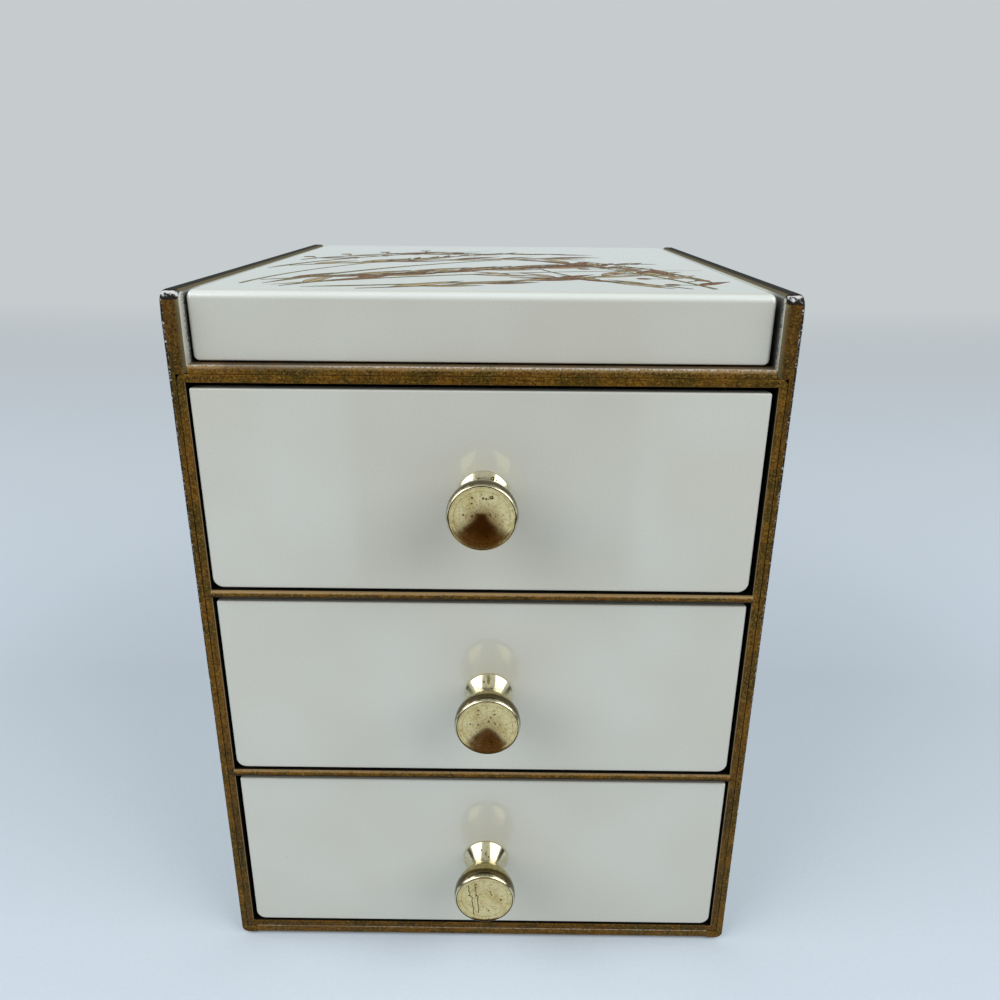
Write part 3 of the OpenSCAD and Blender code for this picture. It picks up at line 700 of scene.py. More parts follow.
for name in ("left_hinge_pin", "right_hinge_pin"):
    low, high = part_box(name)
    radius, length = (high.z - low.z) / 2, high.x - low.x
    wire = turned_piece(name + "_wire", [
        (0, 0), (radius - PIN_CHAMFER, 0), (radius, PIN_CHAMFER), (radius, length - PIN_CHAMFER),
        (radius - PIN_CHAMFER, length), (0, length)],
        (low.x, (low.y + high.y) / 2, (low.z + high.z) / 2), (1, 0, 0))
    finish_off(wire, pin_finish)
    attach(wire, "cabinet")
    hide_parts(name)


# ---------------------------------------------------------------- lid shell
# A shallow lacquered box, open underneath, with soft edges. Its rear edge is a
# solid bar, half round below, that turns between the ears on the two pins.

LID_WALL = 2.3 * mm
LID_TOP = 2.2 * mm
LID_NOSE = 1.6 * mm
LID_SIDE = 1.2 * mm
LID_UPRIGHT = 0.8 * mm
LID_RIM = 0.3 * mm
REAR_BAR = 10.1 * mm
POCKET_INSET = 0.4 * mm
POCKET_CORNER = 1.5 * mm
RUNNING_HOLE = 1.05 * mm
RUNNING_DRILL = 8.2 * mm

low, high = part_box("lid_shell")
hinge = sum(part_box("right_hinge_pin"), Vector()) / 2
lid = block("lid_box", low, high)
round_off(lid, high.y - hinge.y - NEAR, lambda edge: lies(edge, y=high.y, z=low.z), steps=16)
soften(lid, lambda edge: (
    0 if not sharp(edge)
    else LID_NOSE if lies(edge, z=high.z) and not lies(edge, x=low.x) and not lies(edge, x=high.x)
    else LID_RIM if not lies(edge, x=low.x) and not lies(edge, x=high.x)
    else LID_UPRIGHT if lies(edge, y=low.y) else LID_SIDE), steps=8)
pocket_low = Vector((low.x + LID_WALL, low.y + LID_WALL, low.z))
pocket_high = Vector((high.x - LID_WALL, high.y - REAR_BAR, high.z - LID_TOP))
pick(lid, "FACE", lambda part: lies(part, z=low.z))
bpy.ops.mesh.inset(thickness=POCKET_INSET)
mesh = bmesh.from_edit_mesh(lid.data)
inner = [point.co for part in mesh.faces if part.select for point in part.verts]
inner_low = Vector([min(co[i] for co in inner) for i in range(3)])
inner_high = Vector([max(co[i] for co in inner) for i in range(3)])
bpy.ops.transform.resize(value=((pocket_high.x - pocket_low.x) / (inner_high.x - inner_low.x),
                                (pocket_high.y - pocket_low.y) / (inner_high.y - inner_low.y), 1),
                         center_override=(inner_low + inner_high) / 2)
bpy.ops.transform.translate(value=[(pocket_low + pocket_high - inner_low - inner_high)[i] / 2
                                   for i in (0, 1)] + [0])
bpy.ops.mesh.extrude_region_move(
    TRANSFORM_OT_translate={"value": (0, 0, pocket_high.z - low.z)})
round_off(lid, POCKET_CORNER, lambda edge: (
    min(point.co.z for point in edge.verts) < low.z + NEAR
    and max(point.co.z for point in edge.verts) > pocket_high.z - NEAR), steps=5)
round_off(lid, LID_RIM, lambda edge: lies(edge, z=low.z) and sharp(edge), steps=3)
for side in (low.x, high.x):
    bore(lid, (side, hinge.y, hinge.z), RUNNING_HOLE, RUNNING_DRILL)
finish_off(lid, cream_finish)
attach(lid, "lid")
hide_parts("lid_shell")


# ---------------------------------------------------------------- lid mirror
# A plain mirror glued inside the lid: thin float glass silvered on the back, with
# a ground and polished bevel round its face.

BEVEL = 5 * mm
BEVEL_DEPTH = 0.5 * mm
GLASS_CORNER = 1.1 * mm
SILVER = "#E4E8E6"
SILVER_AGED = "#CFD3CE"
GLASS_EDGE = "#3E5A50"

mirror_finish, tree, place, facing = new_finish("silvered glass")
face = add(tree, "SeparateXYZ", {0: facing})
edge_on = add(tree, "MapRange", {0: face.outputs["Z"], 1: -0.75, 2: -0.3})
age = add(tree, "TexNoise", {"Vector": place, "Scale": 1 / (12 * mm), "Detail": 6.0})
silver = add(tree, "Mix", {0: add(tree, "MapRange", {0: age, 1: 0.45, 2: 0.75}),
                           6: colour(SILVER), 7: colour(SILVER_AGED)}, data_type="RGBA")
shader = add(tree, "BsdfPrincipled", {
    "Base Color": add(tree, "Mix", {0: edge_on, 6: silver, 7: colour(GLASS_EDGE)},
                      data_type="RGBA").outputs[2],
    "Metallic": add(tree, "MapRange", {0: edge_on, 3: 1.0, 4: 0.0}),
    "Roughness": add(tree, "MapRange", {0: age, 1: 0.4, 2: 0.8, 3: 0.01, 4: 0.035}),
    "Coat Weight": 0.5, "Coat Roughness": 0.02})
add(tree, "OutputMaterial", {"Surface": shader})

low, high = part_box("lid_mirror")
mirror = block("lid_mirror_glass", low + Vector((0, 0, BEVEL_DEPTH)), high)
pick(mirror, "FACE", lambda part: lies(part, z=low.z + BEVEL_DEPTH))
bpy.ops.mesh.inset(thickness=BEVEL, depth=BEVEL_DEPTH)
round_off(mirror, GLASS_CORNER, lambda edge: sharp(edge) and not lies(edge, z=high.z)
          and not lies(edge, z=low.z + BEVEL_DEPTH), steps=5)
pick(mirror, "EDGE", lambda edge: min(point.co.z for point in edge.verts) < low.z + NEAR)
bpy.ops.mesh.mark_sharp()
finish_off(mirror, mirror_finish)
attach(mirror, "lid")
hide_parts("lid_mirror")


# ------------------------------------------------------------- printed sprigs
# A transfer print laid on the lid's gloss: willow sprigs, grass in seed and berry
# twigs of a made-up design, in matt brown line work with tan and olive shades.

INK_DARK = "#5E4334"
INK_BROWN = "#86604A"
INK_TAN = "#BBAA86"
INK_OLIVE = "#7E7850"
INK_STEP = 0.006 * mm
INK_FLAT = 0.002

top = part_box("lid_shell")[1].z
luck = Random(11)


def ink(name, code):
    """Printed ink: a thin, slightly uneven film without a shine of its own."""
    material, tree, place, _ = new_finish(name)
    thinning_and_highlight = add(tree, "TexNoise", {"Vector": place, "Scale": 1 / (0.8 * mm), "Detail": 3.0})
    thinning_and_highlight = add(tree, "MapRange", {0: thinning_and_highlight, 1: 0.5, 2: 0.8, 4: 0.5})
    film = add(tree, "Mix", {0: thinning_and_highlight, 6: colour(code), 7: colour(CREAM)}, data_type="RGBA")
    shader = add(tree, "BsdfPrincipled", {
        "Base Color": film.outputs[2], "Roughness": 0.8, "Specular IOR Level": 0.15})
    add(tree, "OutputMaterial", {"Surface": shader})
    return material


def start_ink(name):
    """An empty flat drawing on the lid."""
    bpy.ops.object.select_all(action="DESELECT")
    bpy.ops.curve.primitive_nurbs_path_add()
    drawing = bpy.context.object
    drawing.name = drawing.data.name = name
    drawing.data.splines.clear()
    drawing.data.bevel_depth = 1 * mm
    drawing.data.bevel_resolution = 0
    drawing.data.use_fill_caps = True
    return drawing


def stroke(drawing, points, widths):
    """One brush stroke through points on the lid, as wide as widths says."""
    line = drawing.data.splines.new("POLY")
    line.points.add(len(points) - 1)
    for spot, (x, y), width in zip(line.points, points, widths):
        spot.co = (x * mm, y * mm, 0, 1)
        spot.radius = width / 2


def arc(start, heading, length, bend, count):
    """Points along a line that turns evenly by bend degrees, and their headings."""
    x, y = start
    points, headings = [], []
    for i in range(count):
        points.append((x, y))
        headings.append(heading)
        heading += bend / (count - 1)
        x += cos(radians(heading)) * length / (count - 1)
        y += sin(radians(heading)) * length / (count - 1)
    return points, headings


def leaf(shades, start, heading, length, width, bend=20):
    """An outlined leaf with a shaded inside and a midrib."""
    points, _ = arc(start, heading, length, bend, 7)
    shape = [0.12, 0.72, 1.0, 0.94, 0.72, 0.40, 0.05]
    stroke(outlines, points, [width * share for share in shape])
    stroke(shades, points[:-1], [max(0.02, width * share - 0.5) for share in shape[:-1]])
    stroke(ribs, points, [0.34, 0.3, 0.28, 0.26, 0.22, 0.16, 0.08])


def sprig(start, heading, length, bend, leaves, size):
    """A willow sprig: long narrow leaves that lie close along an arching stem."""
    points, headings = arc(start, heading, length, bend, leaves + 2)
    stroke(stems, points, [0.4] + [1.0 - 0.7 * i / len(points) for i in range(1, len(points))])
    for i in range(1, len(points)):
        side = 1 if i % 2 else -1
        long = size * luck.uniform(0.75, 1.15)
        leaf(browns if luck.random() < 0.4 else fills, points[i],
             headings[i] + side * luck.uniform(16, 34), long, long * luck.uniform(0.2, 0.27),
             bend=-side * luck.uniform(5, 40))


def seeded_grass(start, heading, length, bend, seeds):
    """A stalk of grass with seeds crowded along its upper half."""
    points, headings = arc(start, heading, length, bend, seeds * 2)
    stroke(stems, points, [0.7 - 0.4 * i / len(points) for i in range(len(points))])
    for i in range(seeds, len(points)):
        for side in (1, -1):
            leaf(browns if i % 2 else fills, points[i], headings[i] + side * luck.uniform(14, 30),
                 luck.uniform(4.5, 6.5), 1.5, bend=side * 10)


def twig(start, heading, length, bend, berries):
    """A twig with stalked berries by turns on either side, and a few leaves."""
    points, headings = arc(start, heading, length, bend, berries + 2)
    stroke(stems, points, [1.0 - 0.6 * i / len(points) for i in range(len(points))])
    for i in range(1, len(points)):
        side = 1 if i % 2 else -1
        stalk, turned = arc(points[i], headings[i] + side * 50, 3.6, side * 20, 4)
        stroke(stems, stalk, [0.4] * 4)
        berry, _ = arc(stalk[-1], turned[-1], 3.0, 0, 7)
        stroke(outlines, berry, [0.7, 2.2, 2.8, 3.0, 2.8, 2.2, 0.7])
        stroke(browns, berry[1:-1], [1.2, 1.9, 2.1, 1.9, 1.2])
        if i % 2:
            leaf(browns if i % 4 == 1 else fills, points[i], headings[i] - side * 42, 10, 3.0,
                 bend=-side * 30)


def blade(start, heading, length, bend, width):
    """A blade of grass."""
    points, _ = arc(start, heading, length, bend, 14)
    tip = len(points) - 1
    shape = [0.3] + [width * (1 - (i / tip) ** 2) + 0.12 for i in range(1, tip + 1)]
    stroke(outlines, points, shape)
    stroke(washes, points[:-2], [max(0.02, each - 0.4) for each in shape[:-2]])


washes, outlines, fills, browns, stems, ribs = (start_ink(name) for name in (
    "print_washes", "print_outlines", "print_fills", "print_browns", "print_stems", "print_ribs"))

# Each motif's foot, from the middle of the lid, in millimetres, then its heading in
# degrees, its length, how far it bends, and its number of leaves or its width.
sprig((-36, -50), 60, 74, -46, 11, 15)
sprig((-42, -40), 34, 66, -8, 10, 16)
sprig((-22, -53), 18, 58, 22, 9, 15)
sprig((-44, -10), 40, 64, -30, 10, 14)
sprig((-30, 24), 14, 46, -16, 7, 13)
sprig((37, -50), 130, 40, 26, 7, 12)
sprig((41, -34), 112, 48, 20, 8, 12)
seeded_grass((-44, -46), 84, 92, -50, 10)
seeded_grass((-34, -34), 40, 76, -24, 11)
twig((41, -50), 102, 52, 22, 8)
twig((-45, 6), 64, 44, -40, 7)
blade((-40, -46), 70, 96, -44, 1.7)
blade((-38, -48), 40, 92, -34, 1.5)
blade((-32, -51), 12, 80, 22, 1.6)
blade((34, -50), 142, 52, -44, 1.3)
blade((43, -40), 98, 60, 34, 1.3)
blade((-47, -16), 76, 74, -50, 1.4)

for layer, (drawing, name, code) in enumerate((
        (outlines, "dark brown ink", INK_DARK), (washes, "olive ink, blades", INK_OLIVE),
        (fills, "tan ink", INK_TAN), (browns, "chestnut ink", INK_BROWN),
        (stems, "olive ink, stems", INK_OLIVE), (ribs, "dark brown ink, ribs", INK_DARK))):
    select_only(drawing)
    bpy.ops.object.convert(target="MESH")
    print_layer = bpy.context.object
    print_layer.scale.z = INK_FLAT
    print_layer.location.z = top + (layer + 1) * INK_STEP
    bpy.ops.object.transform_apply()
    print_layer.data.materials.clear()
    print_layer.data.materials.append(ink(name, code))
    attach(print_layer, "lid")


# ---------------------------------------------------------------- drawer fronts
# Three solid lacquered fronts, screwed to the trays behind them through the
# knobs. Their lower corners are rounded and every edge is eased.

SCREW_HOLE = 1.6 * mm
FRONT_DRILL = 12 * mm
FRONT_CORNER = 2.0 * mm
EASED = 0.35 * mm

for row in ("upper", "middle", "lower"):
    low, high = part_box(row + "_front")
    knob_low, knob_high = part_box(row + "_knob")
    axis = (knob_low + knob_high) / 2
    panel = block(row + "_drawer_front", low, high)
    round_off(panel, FRONT_CORNER, lambda edge: lies(edge, x=low.x, z=low.z)
              or lies(edge, x=high.x, z=low.z), steps=8)
    round_off(panel, EASED, sharp, steps=4)
    bore(panel, (axis.x, low.y, axis.z), SCREW_HOLE, FRONT_DRILL, turned=(pi / 2, 0, 0))
    finish_off(panel, cream_finish)
    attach(panel, row + "_drawer")
    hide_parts(row + "_front")


# ---------------------------------------------------------------- drawer trays
# Three trays moulded in black plastic, open at the top, with thin walls and round
# corners. Their faces have the fine grain of a spark-eroded mould.

TRAY_WALL = 1.4 * mm
TRAY_CORNER = 2.4 * mm
TRAY_RIM = 0.4 * mm
TRAY_FOOT = 0.8 * mm
TRAY_DRILL = 6 * mm
TRAY_BLACK = "#100F0E"
TRAY_RUBBED = "#2A2826"

tray_finish, tree, place, _ = new_finish("black moulded plastic")
mould_grain = add(tree, "TexNoise", {"Vector": place, "Scale": 1 / (0.3 * mm), "Detail": 2.0})
rubs = add(tree, "TexNoise", {"Vector": add(tree, "Mapping", {0: place, 3: (1, 0.08, 1)}),
                              "Scale": 1 / (1.2 * mm), "Detail": 4.0})
shader = add(tree, "BsdfPrincipled", {
    "Base Color": add(tree, "Mix", {0: add(tree, "MapRange", {0: rubs, 1: 0.55, 2: 0.8}),
                                    6: colour(TRAY_BLACK), 7: colour(TRAY_RUBBED)},
                      data_type="RGBA").outputs[2],
    "Roughness": add(tree, "MapRange", {0: rubs, 1: 0.4, 2: 0.7, 3: 0.42, 4: 0.6}),
    "Normal": add(tree, "Bump", {"Height": mould_grain, "Strength": 0.25, "Distance": 0.04 * mm})})
add(tree, "OutputMaterial", {"Surface": shader})

for row in ("upper", "middle", "lower"):
    low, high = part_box(row + "_tray")
    knob_low, knob_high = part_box(row + "_knob")
    axis = (knob_low + knob_high) / 2
    tray = block(row + "_drawer_tray", low, high)
    round_off(tray, TRAY_CORNER, lambda edge: sharp(edge) and not lies(edge, z=low.z)
              and not lies(edge, z=high.z), steps=6)
    pick(tray, "FACE", lambda part: lies(part, z=high.z))
    bpy.ops.mesh.inset(thickness=TRAY_WALL)
    bpy.ops.mesh.extrude_region_move(
        TRANSFORM_OT_translate={"value": (0, 0, low.z + TRAY_WALL - high.z)})
    round_off(tray, TRAY_RIM, lambda edge: lies(edge, z=high.z) and sharp(edge), steps=4)
    round_off(tray, TRAY_FOOT, lambda edge: lies(edge, z=low.z) and sharp(edge), steps=4)
    bore(tray, (axis.x, low.y, axis.z), SCREW_HOLE, TRAY_DRILL, turned=(pi / 2, 0, 0))
    finish_off(tray, tray_finish)
    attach(tray, row + "_drawer")
    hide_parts(row + "_tray")
    lay_felt(row + "_drawer_felt", row + "_felt", row + "_drawer",
             1 * mm, lining)


# ---------------------------------------------------------------- drawer knobs
# Turned brass knobs: a flared foot, a narrow neck and a full head with a dished
# face. Polished once, now with fine tool rings, pits and a dull film in the dish.
# A painted dark ring lies round the widest part and a pale painted highlight on the
# foot and the rim. The head is a darker olive, partly duller brass and partly
# painted shade. Sizes are in millimetres.

KNOB_PITS = "#4A3818"
KNOB_SHADE = "#9A8148"
KNOB_BLOOM = "#7A5226"
KNOB_OLIVE = "#A59B5E"
KNOB_HIGHLIGHT = "#DEDCC2"
KNOB_DARK_RING = "#463814"
KNOB_FOOT = 4.7
KNOB_BASE = 0.45
KNOB_NECK = (2.6, 4.6)
KNOB_HEAD = (6.2, 9.9)
KNOB_RIM = 5.75
KNOB_LENGTH = 11.4
KNOB_DISH = 1.3
KNOB_STEP = 0.08
KNOB_BLUNT = 0.22
KNOB_LINE = 0.09


def knob_profile():
    """Radius and distance from the drawer front, in metres, from foot to dish."""
    neck, neck_at = KNOB_NECK
    head, head_at = KNOB_HEAD
    line = [(0, 0), (KNOB_FOOT - 0.12, 0), (KNOB_FOOT, 0.12), (KNOB_FOOT, KNOB_BASE)]
    for i in range(1, 15):
        s = i / 14
        line.append((neck + (KNOB_FOOT - neck) * (1 - s) ** 1.6,
                     KNOB_BASE + s * (neck_at - KNOB_BASE)))
    for i in range(1, 27):
        s = (i / 26) ** 1.6
        line.append((neck + (head - neck) * (1 - (1 - s) ** 1.9) ** (1 / 1.5),
                     neck_at + s * (head_at - neck_at)))
    for i in range(1, 13):
        turn = i / 12 * pi / 2
        line.append((KNOB_RIM + (head - KNOB_RIM) * cos(turn),
                     head_at + (KNOB_LENGTH - head_at) * sin(turn)))
    at_rim = hypot(1, KNOB_BLUNT)
    for share in (1.0, 0.9, 0.8, 0.65, 0.5, 0.4, 0.3, 0.24, 0.18, 0.13, 0.08, 0.04, 0.0):
        deep = (at_rim - hypot(share, KNOB_BLUNT)) / (at_rim - KNOB_BLUNT)
        line.append(((KNOB_RIM - KNOB_STEP) * share,
                     KNOB_LENGTH - KNOB_STEP - (KNOB_DISH - KNOB_STEP) * deep))
    return [(radius * mm, distance * mm) for radius, distance in line]


def turned_brass(name, middle, bloomed, dents, scratches):
    """Brass with tool rings about the knob's own axis, a film over the dish as dark as
    bloomed says, a painted dark ring at its widest part, a pale painted highlight on
    foot and rim, a darker olive head, pits, and its own dents and scratches."""
    material, tree, place, _ = new_finish(name)
    centred = add(tree, "VectorMath", {0: place, 1: middle}, operation="SUBTRACT")
    apart = add(tree, "SeparateXYZ", {0: centred})
    flat = add(tree, "CombineXYZ", {0: apart.outputs["X"], 2: apart.outputs["Z"]})
    out = add(tree, "VectorMath", {0: flat}, operation="LENGTH").outputs["Value"]
    on_face = add(tree, "MapRange", {0: apart.outputs["Y"], 1: -10.0 * mm, 2: -10.05 * mm})
    rings = add(tree, "Math", {0: out, 1: 1 / (0.35 * mm)}, operation="MULTIPLY")
    rings = add(tree, "TexNoise", {"W": rings, "Scale": 1.0, "Detail": 3.0},
                noise_dimensions="1D")
    film = add(tree, "TexNoise", {"Vector": centred, "Scale": 1 / (2.5 * mm), "Detail": 5.0})
    metal = add(tree, "Mix", {0: add(tree, "MapRange", {0: film, 1: 0.45, 2: 0.70}),
                              6: colour(BRASS), 7: colour(BRASS_DULL)}, data_type="RGBA")
    metal = add(tree, "Mix", {0: add(tree, "MapRange", {0: rings, 1: 0.58, 2: 0.75, 4: 0.45}),
                              6: metal, 7: colour(KNOB_SHADE)}, data_type="RGBA")
    stain = add(tree, "TexNoise", {"Vector": centred, "Scale": 1 / (0.5 * mm), "Detail": 4.0})
    metal = add(tree, "Mix", {0: add(tree, "MapRange", {0: stain, 1: 0.50, 2: 0.66, 4: 0.5}),
                              6: metal, 7: colour(KNOB_SHADE)}, data_type="RGBA")
    below = add(tree, "VectorMath", {0: flat, 1: (0, 0, -1.3 * mm)}, operation="DISTANCE")
    ragged = add(tree, "Math", {0: film, 1: 2.4 * mm, 2: below.outputs["Value"]},
                 operation="MULTIPLY_ADD")
    bloom = add(tree, "MapRange", {0: ragged, 1: 5.2 * mm, 2: 2.4 * mm, 4: bloomed})
    metal = add(tree, "Mix", {0: add(tree, "Math", {0: bloom, 1: on_face}, operation="MULTIPLY"),
                              6: metal, 7: colour(KNOB_BLOOM)}, data_type="RGBA")
    # Painted highlight: the foot and the rim are paled towards near white.
    flare_highlight = add(tree, "MapRange", {0: apart.outputs["Y"], 1: -5.2 * mm, 2: -4.4 * mm, 4: 0.6})
    metal = add(tree, "Mix", {0: flare_highlight, 6: metal, 7: colour(KNOB_HIGHLIGHT)}, data_type="RGBA")
    on_head = add(tree, "Math", {0: apart.outputs["Y"], 1: -7.5 * mm, 2: 2.5 * mm},
                  operation="COMPARE")
    on_rim = add(tree, "Math", {0: add(tree, "Math", {0: out, 1: (KNOB_RIM + 0.02) * mm},
                                       operation="GREATER_THAN"),
                                1: add(tree, "MapRange", {0: apart.outputs["Y"], 1: -9.9 * mm,
                                                          2: -10.3 * mm, 4: 0.6})},
                 operation="MULTIPLY")
    metal = add(tree, "Mix", {0: on_rim, 6: metal, 7: colour(KNOB_HIGHLIGHT)}, data_type="RGBA")
    # A darker olive over the head: partly duller brass, partly painted shade.
    stain = add(tree, "TexNoise", {"Vector": centred, "Scale": 1 / (0.9 * mm), "Detail": 5.0})
    metal = add(tree, "Mix", {0: add(tree, "Math", {0: add(tree, "MapRange", {
        0: stain, 1: 0.35, 2: 0.6, 3: 0.35, 4: 0.95}), 1: on_head}, operation="MULTIPLY"),
        6: metal, 7: colour(KNOB_OLIVE)}, data_type="RGBA")
    # Painted shade: a dark ring round the widest part of the head.
    widest = add(tree, "MapRange", {0: add(tree, "Math", {0: stain, 1: 0.3 * mm, 2: out},
                                           operation="MULTIPLY_ADD"),
                                    1: 6.12 * mm, 2: 6.27 * mm, 4: 0.9})
    at_edge = add(tree, "MapRange", {0: apart.outputs["Y"], 1: -8.9 * mm, 2: -9.4 * mm})
    metal = add(tree, "Mix", {0: add(tree, "Math", {0: widest, 1: at_edge}, operation="MULTIPLY"),
                              6: metal, 7: colour(KNOB_DARK_RING)}, data_type="RGBA")
    groove = add(tree, "Math", {0: out, 1: (KNOB_RIM - 0.03) * mm, 2: KNOB_LINE * mm},
                 operation="COMPARE")
    marks = add(tree, "Math", {0: groove, 1: on_face}, operation="MULTIPLY")
    for size, rarely in ((0.8, 0.62), (0.4, 0.55)):
        pits = add(tree, "TexVoronoi", {"Vector": centred, "Scale": 1 / (size * mm)})
        lot = add(tree, "SeparateColor", {0: pits.outputs["Color"]})
        nearer = add(tree, "MapRange", {0: out, 1: 1.5 * mm, 2: 5.0 * mm, 3: rarely, 4: 0.97})
        chosen = add(tree, "Math", {0: lot, 1: nearer}, operation="GREATER_THAN")
        marks = add(tree, "Math", {0: add(tree, "Math", {
            0: add(tree, "MapRange", {0: pits, 1: 0.30, 2: 0.16}), 1: chosen},
            operation="MULTIPLY"), 1: marks}, operation="MAXIMUM")
    for x, z, radius in dents:
        away = add(tree, "VectorMath", {0: flat, 1: (x * mm, 0, z * mm)}, operation="DISTANCE")
        ring = add(tree, "Math", {0: away.outputs["Value"], 1: radius * mm, 2: KNOB_LINE * mm},
                   operation="COMPARE")
        marks = add(tree, "Math", {0: ring, 1: marks}, operation="MAXIMUM")
    wander = add(tree, "Math", {0: apart.outputs["Z"], 1: 1 / (1.1 * mm)}, operation="MULTIPLY")
    wander = add(tree, "TexNoise", {"W": wander, "Scale": 1.0, "Detail": 2.0},
                 noise_dimensions="1D")
    for x, lean, low_z, high_z in scratches:
        line = add(tree, "Math", {0: apart.outputs["Z"], 1: lean, 2: apart.outputs["X"]},
                   operation="MULTIPLY_ADD")
        line = add(tree, "Math", {0: wander, 1: 1.1 * mm, 2: line}, operation="MULTIPLY_ADD")
        off = add(tree, "Math", {0: line, 1: (x + 0.55) * mm, 2: 0.085 * mm}, operation="COMPARE")
        length = add(tree, "Math", {0: apart.outputs["Z"], 1: (low_z + high_z) / 2 * mm,
                                    2: (high_z - low_z) / 2 * mm}, operation="COMPARE")
        line = add(tree, "Math", {0: off, 1: length}, operation="MULTIPLY")
        line = add(tree, "Math", {0: line, 1: on_face}, operation="MULTIPLY")
        marks = add(tree, "Math", {0: line, 1: marks}, operation="MAXIMUM")
    metal = add(tree, "Mix", {0: marks, 6: metal, 7: colour(KNOB_PITS)}, data_type="RGBA")
    rough = add(tree, "MapRange", {0: film, 1: 0.35, 2: 0.75, 3: 0.12, 4: 0.26})
    height = add(tree, "Math", {0: marks, 1: -2.0, 2: rings}, operation="MULTIPLY_ADD")
    shader = add(tree, "BsdfPrincipled", {
        "Base Color": metal.outputs[2], "Metallic": 1.0, "Roughness": rough,
        "Normal": add(tree, "Bump", {"Height": height, "Strength": 0.08, "Distance": 0.05 * mm})})
    add(tree, "OutputMaterial", {"Surface": shader})
    return material


for row, bloomed, dents, scratches in (
        ("upper", 0.85,
         ((0.2, 3.4, 0.12), (0.7, 3.3, 0.1), (1.6, 3.6, 0.26), (1.7, 3.5, 0.08)), ()),
        ("middle", 0.35, ((0.6, 1.6, 0.1), (1.3, 2.5, 0.12), (0.2, 0.6, 0.1)), ()),
        ("lower", 0.0, ((1.2, 1.0, 0.1), (3.3, -0.6, 0.12)),
         ((-2.8, 0.17, -4.4, 3.4), (-1.6, 0.12, -4.0, 3.6)))):
    low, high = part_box(row + "_knob")
    middle = Vector(((low.x + high.x) / 2, high.y, (low.z + high.z) / 2))
    knob = turned_piece(row + "_turned_knob", knob_profile(), middle, (0, -1, 0))
    finish_off(knob, turned_brass("turned brass, " + row + " knob", middle, bloomed, dents,
                                  scratches))
    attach(knob, row + "_drawer")
    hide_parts(row + "_knob")


# ---------------------------------------------------------------- knob screws
# Three zinc-plated steel screws with low round heads, each through tray and front
# into its knob, and driven by a cross slot. Sizes are in millimetres.

SCREW = 1.5
SCREW_HEAD = 2.8
HEAD_HEIGHT = 1.8
SLOT_LENGTH = 3.0
SLOT_WIDTH = 0.6
SLOT_DEPTH = 0.9
ZINC = "#C6C8C9"
ZINC_DULL = "#8E9192"

screw_finish, tree, place, _ = new_finish("zinc plated steel")
bloom = add(tree, "TexNoise", {"Vector": place, "Scale": 1 / (0.9 * mm), "Detail": 4.0})
shader = add(tree, "BsdfPrincipled", {
    "Base Color": add(tree, "Mix", {0: add(tree, "MapRange", {0: bloom, 1: 0.4, 2: 0.7}),
                                    6: colour(ZINC), 7: colour(ZINC_DULL)},
                      data_type="RGBA").outputs[2],
    "Metallic": 1.0, "Roughness": add(tree, "MapRange", {0: bloom, 3: 0.22, 4: 0.45}),
    "Normal": add(tree, "Bump", {"Height": bloom, "Strength": 0.15, "Distance": 0.03 * mm})})
add(tree, "OutputMaterial", {"Surface": shader})

for row in ("upper", "middle", "lower"):
    low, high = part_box(row + "_knob_screw")
    length = (high.y - low.y) / mm
    middle = Vector(((low.x + high.x) / 2, high.y, (low.z + high.z) / 2))
    profile = [(0, 0), (1.2, 0.02), (2.0, 0.18), (2.5, 0.55), (SCREW_HEAD, 1.1),
               (SCREW_HEAD, HEAD_HEIGHT), (SCREW, HEAD_HEIGHT), (SCREW, length - 0.5),
               (SCREW - 0.6, length), (0, length)]
    screw = turned_piece(row + "_screw", [(r * mm, d * mm) for r, d in profile], middle,
                         (0, -1, 0))
    bpy.ops.object.mode_set(mode="OBJECT")
    for wide, tall in ((SLOT_LENGTH, SLOT_WIDTH), (SLOT_WIDTH, SLOT_LENGTH)):
        half = Vector((wide / 2, SLOT_DEPTH, tall / 2)) * mm
        cut_out(screw, block("driver", middle - half, middle + half))
    finish_off(screw, screw_finish)
    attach(screw, row + "_drawer")
    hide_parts(row + "_knob_screw")


# ---------------------------------------------------------------- the studio
# A pale floor that sweeps up into the backdrop, a broad soft light on each side,
# and cards that only the gloss and the brass see: dark ones in front, low down at
# the sides and overhead, and a bright one behind. Each shows only within its reach.
# The camera stands where the chest's own straight edges put it. Sizes are in metres.

PAPER = ("#C6D2DD", "#CEDAE5")
BACKDROP = "#C6CCCE"
AIR = "#C4CACB"
AIR_LIGHT = 0.36
FLOOR_SIZE = 4
FLOOR_BACK = 2.6
FLOOR_SWEEP = 1.2
FLOOR_FADE = (0.1, 1.0)
BACKDROP_HEIGHT = 2.5
LAMP_AT = (0.75, -0.35, 0.65)
LAMP_SIZE = (1.1, 0.75)
LAMP_POWER = 7.7
LAMP_AIM = Vector((0, 0, 0.07))
CARD_FADE = 0.42
REACH_FADE = 0.03
FAR = 9.0
CAMERA_AT = (4.19 * mm, -199.60 * mm, 158.32 * mm)
CAMERA_TURN = (0.343, 69.365, 0.445)
LENS = 29.86


def in_view(tree):
    """1 where the camera looks straight, by way of a gloss, or through glass."""
    ray = add(tree, "LightPath")
    seen = add(tree, "Math", {0: ray.outputs["Is Camera Ray"], 1: ray.outputs["Is Glossy Ray"]},
               operation="MAXIMUM")
    return add(tree, "Math", {0: seen, 1: ray.outputs["Is Transmission Ray"]},
               operation="MAXIMUM")


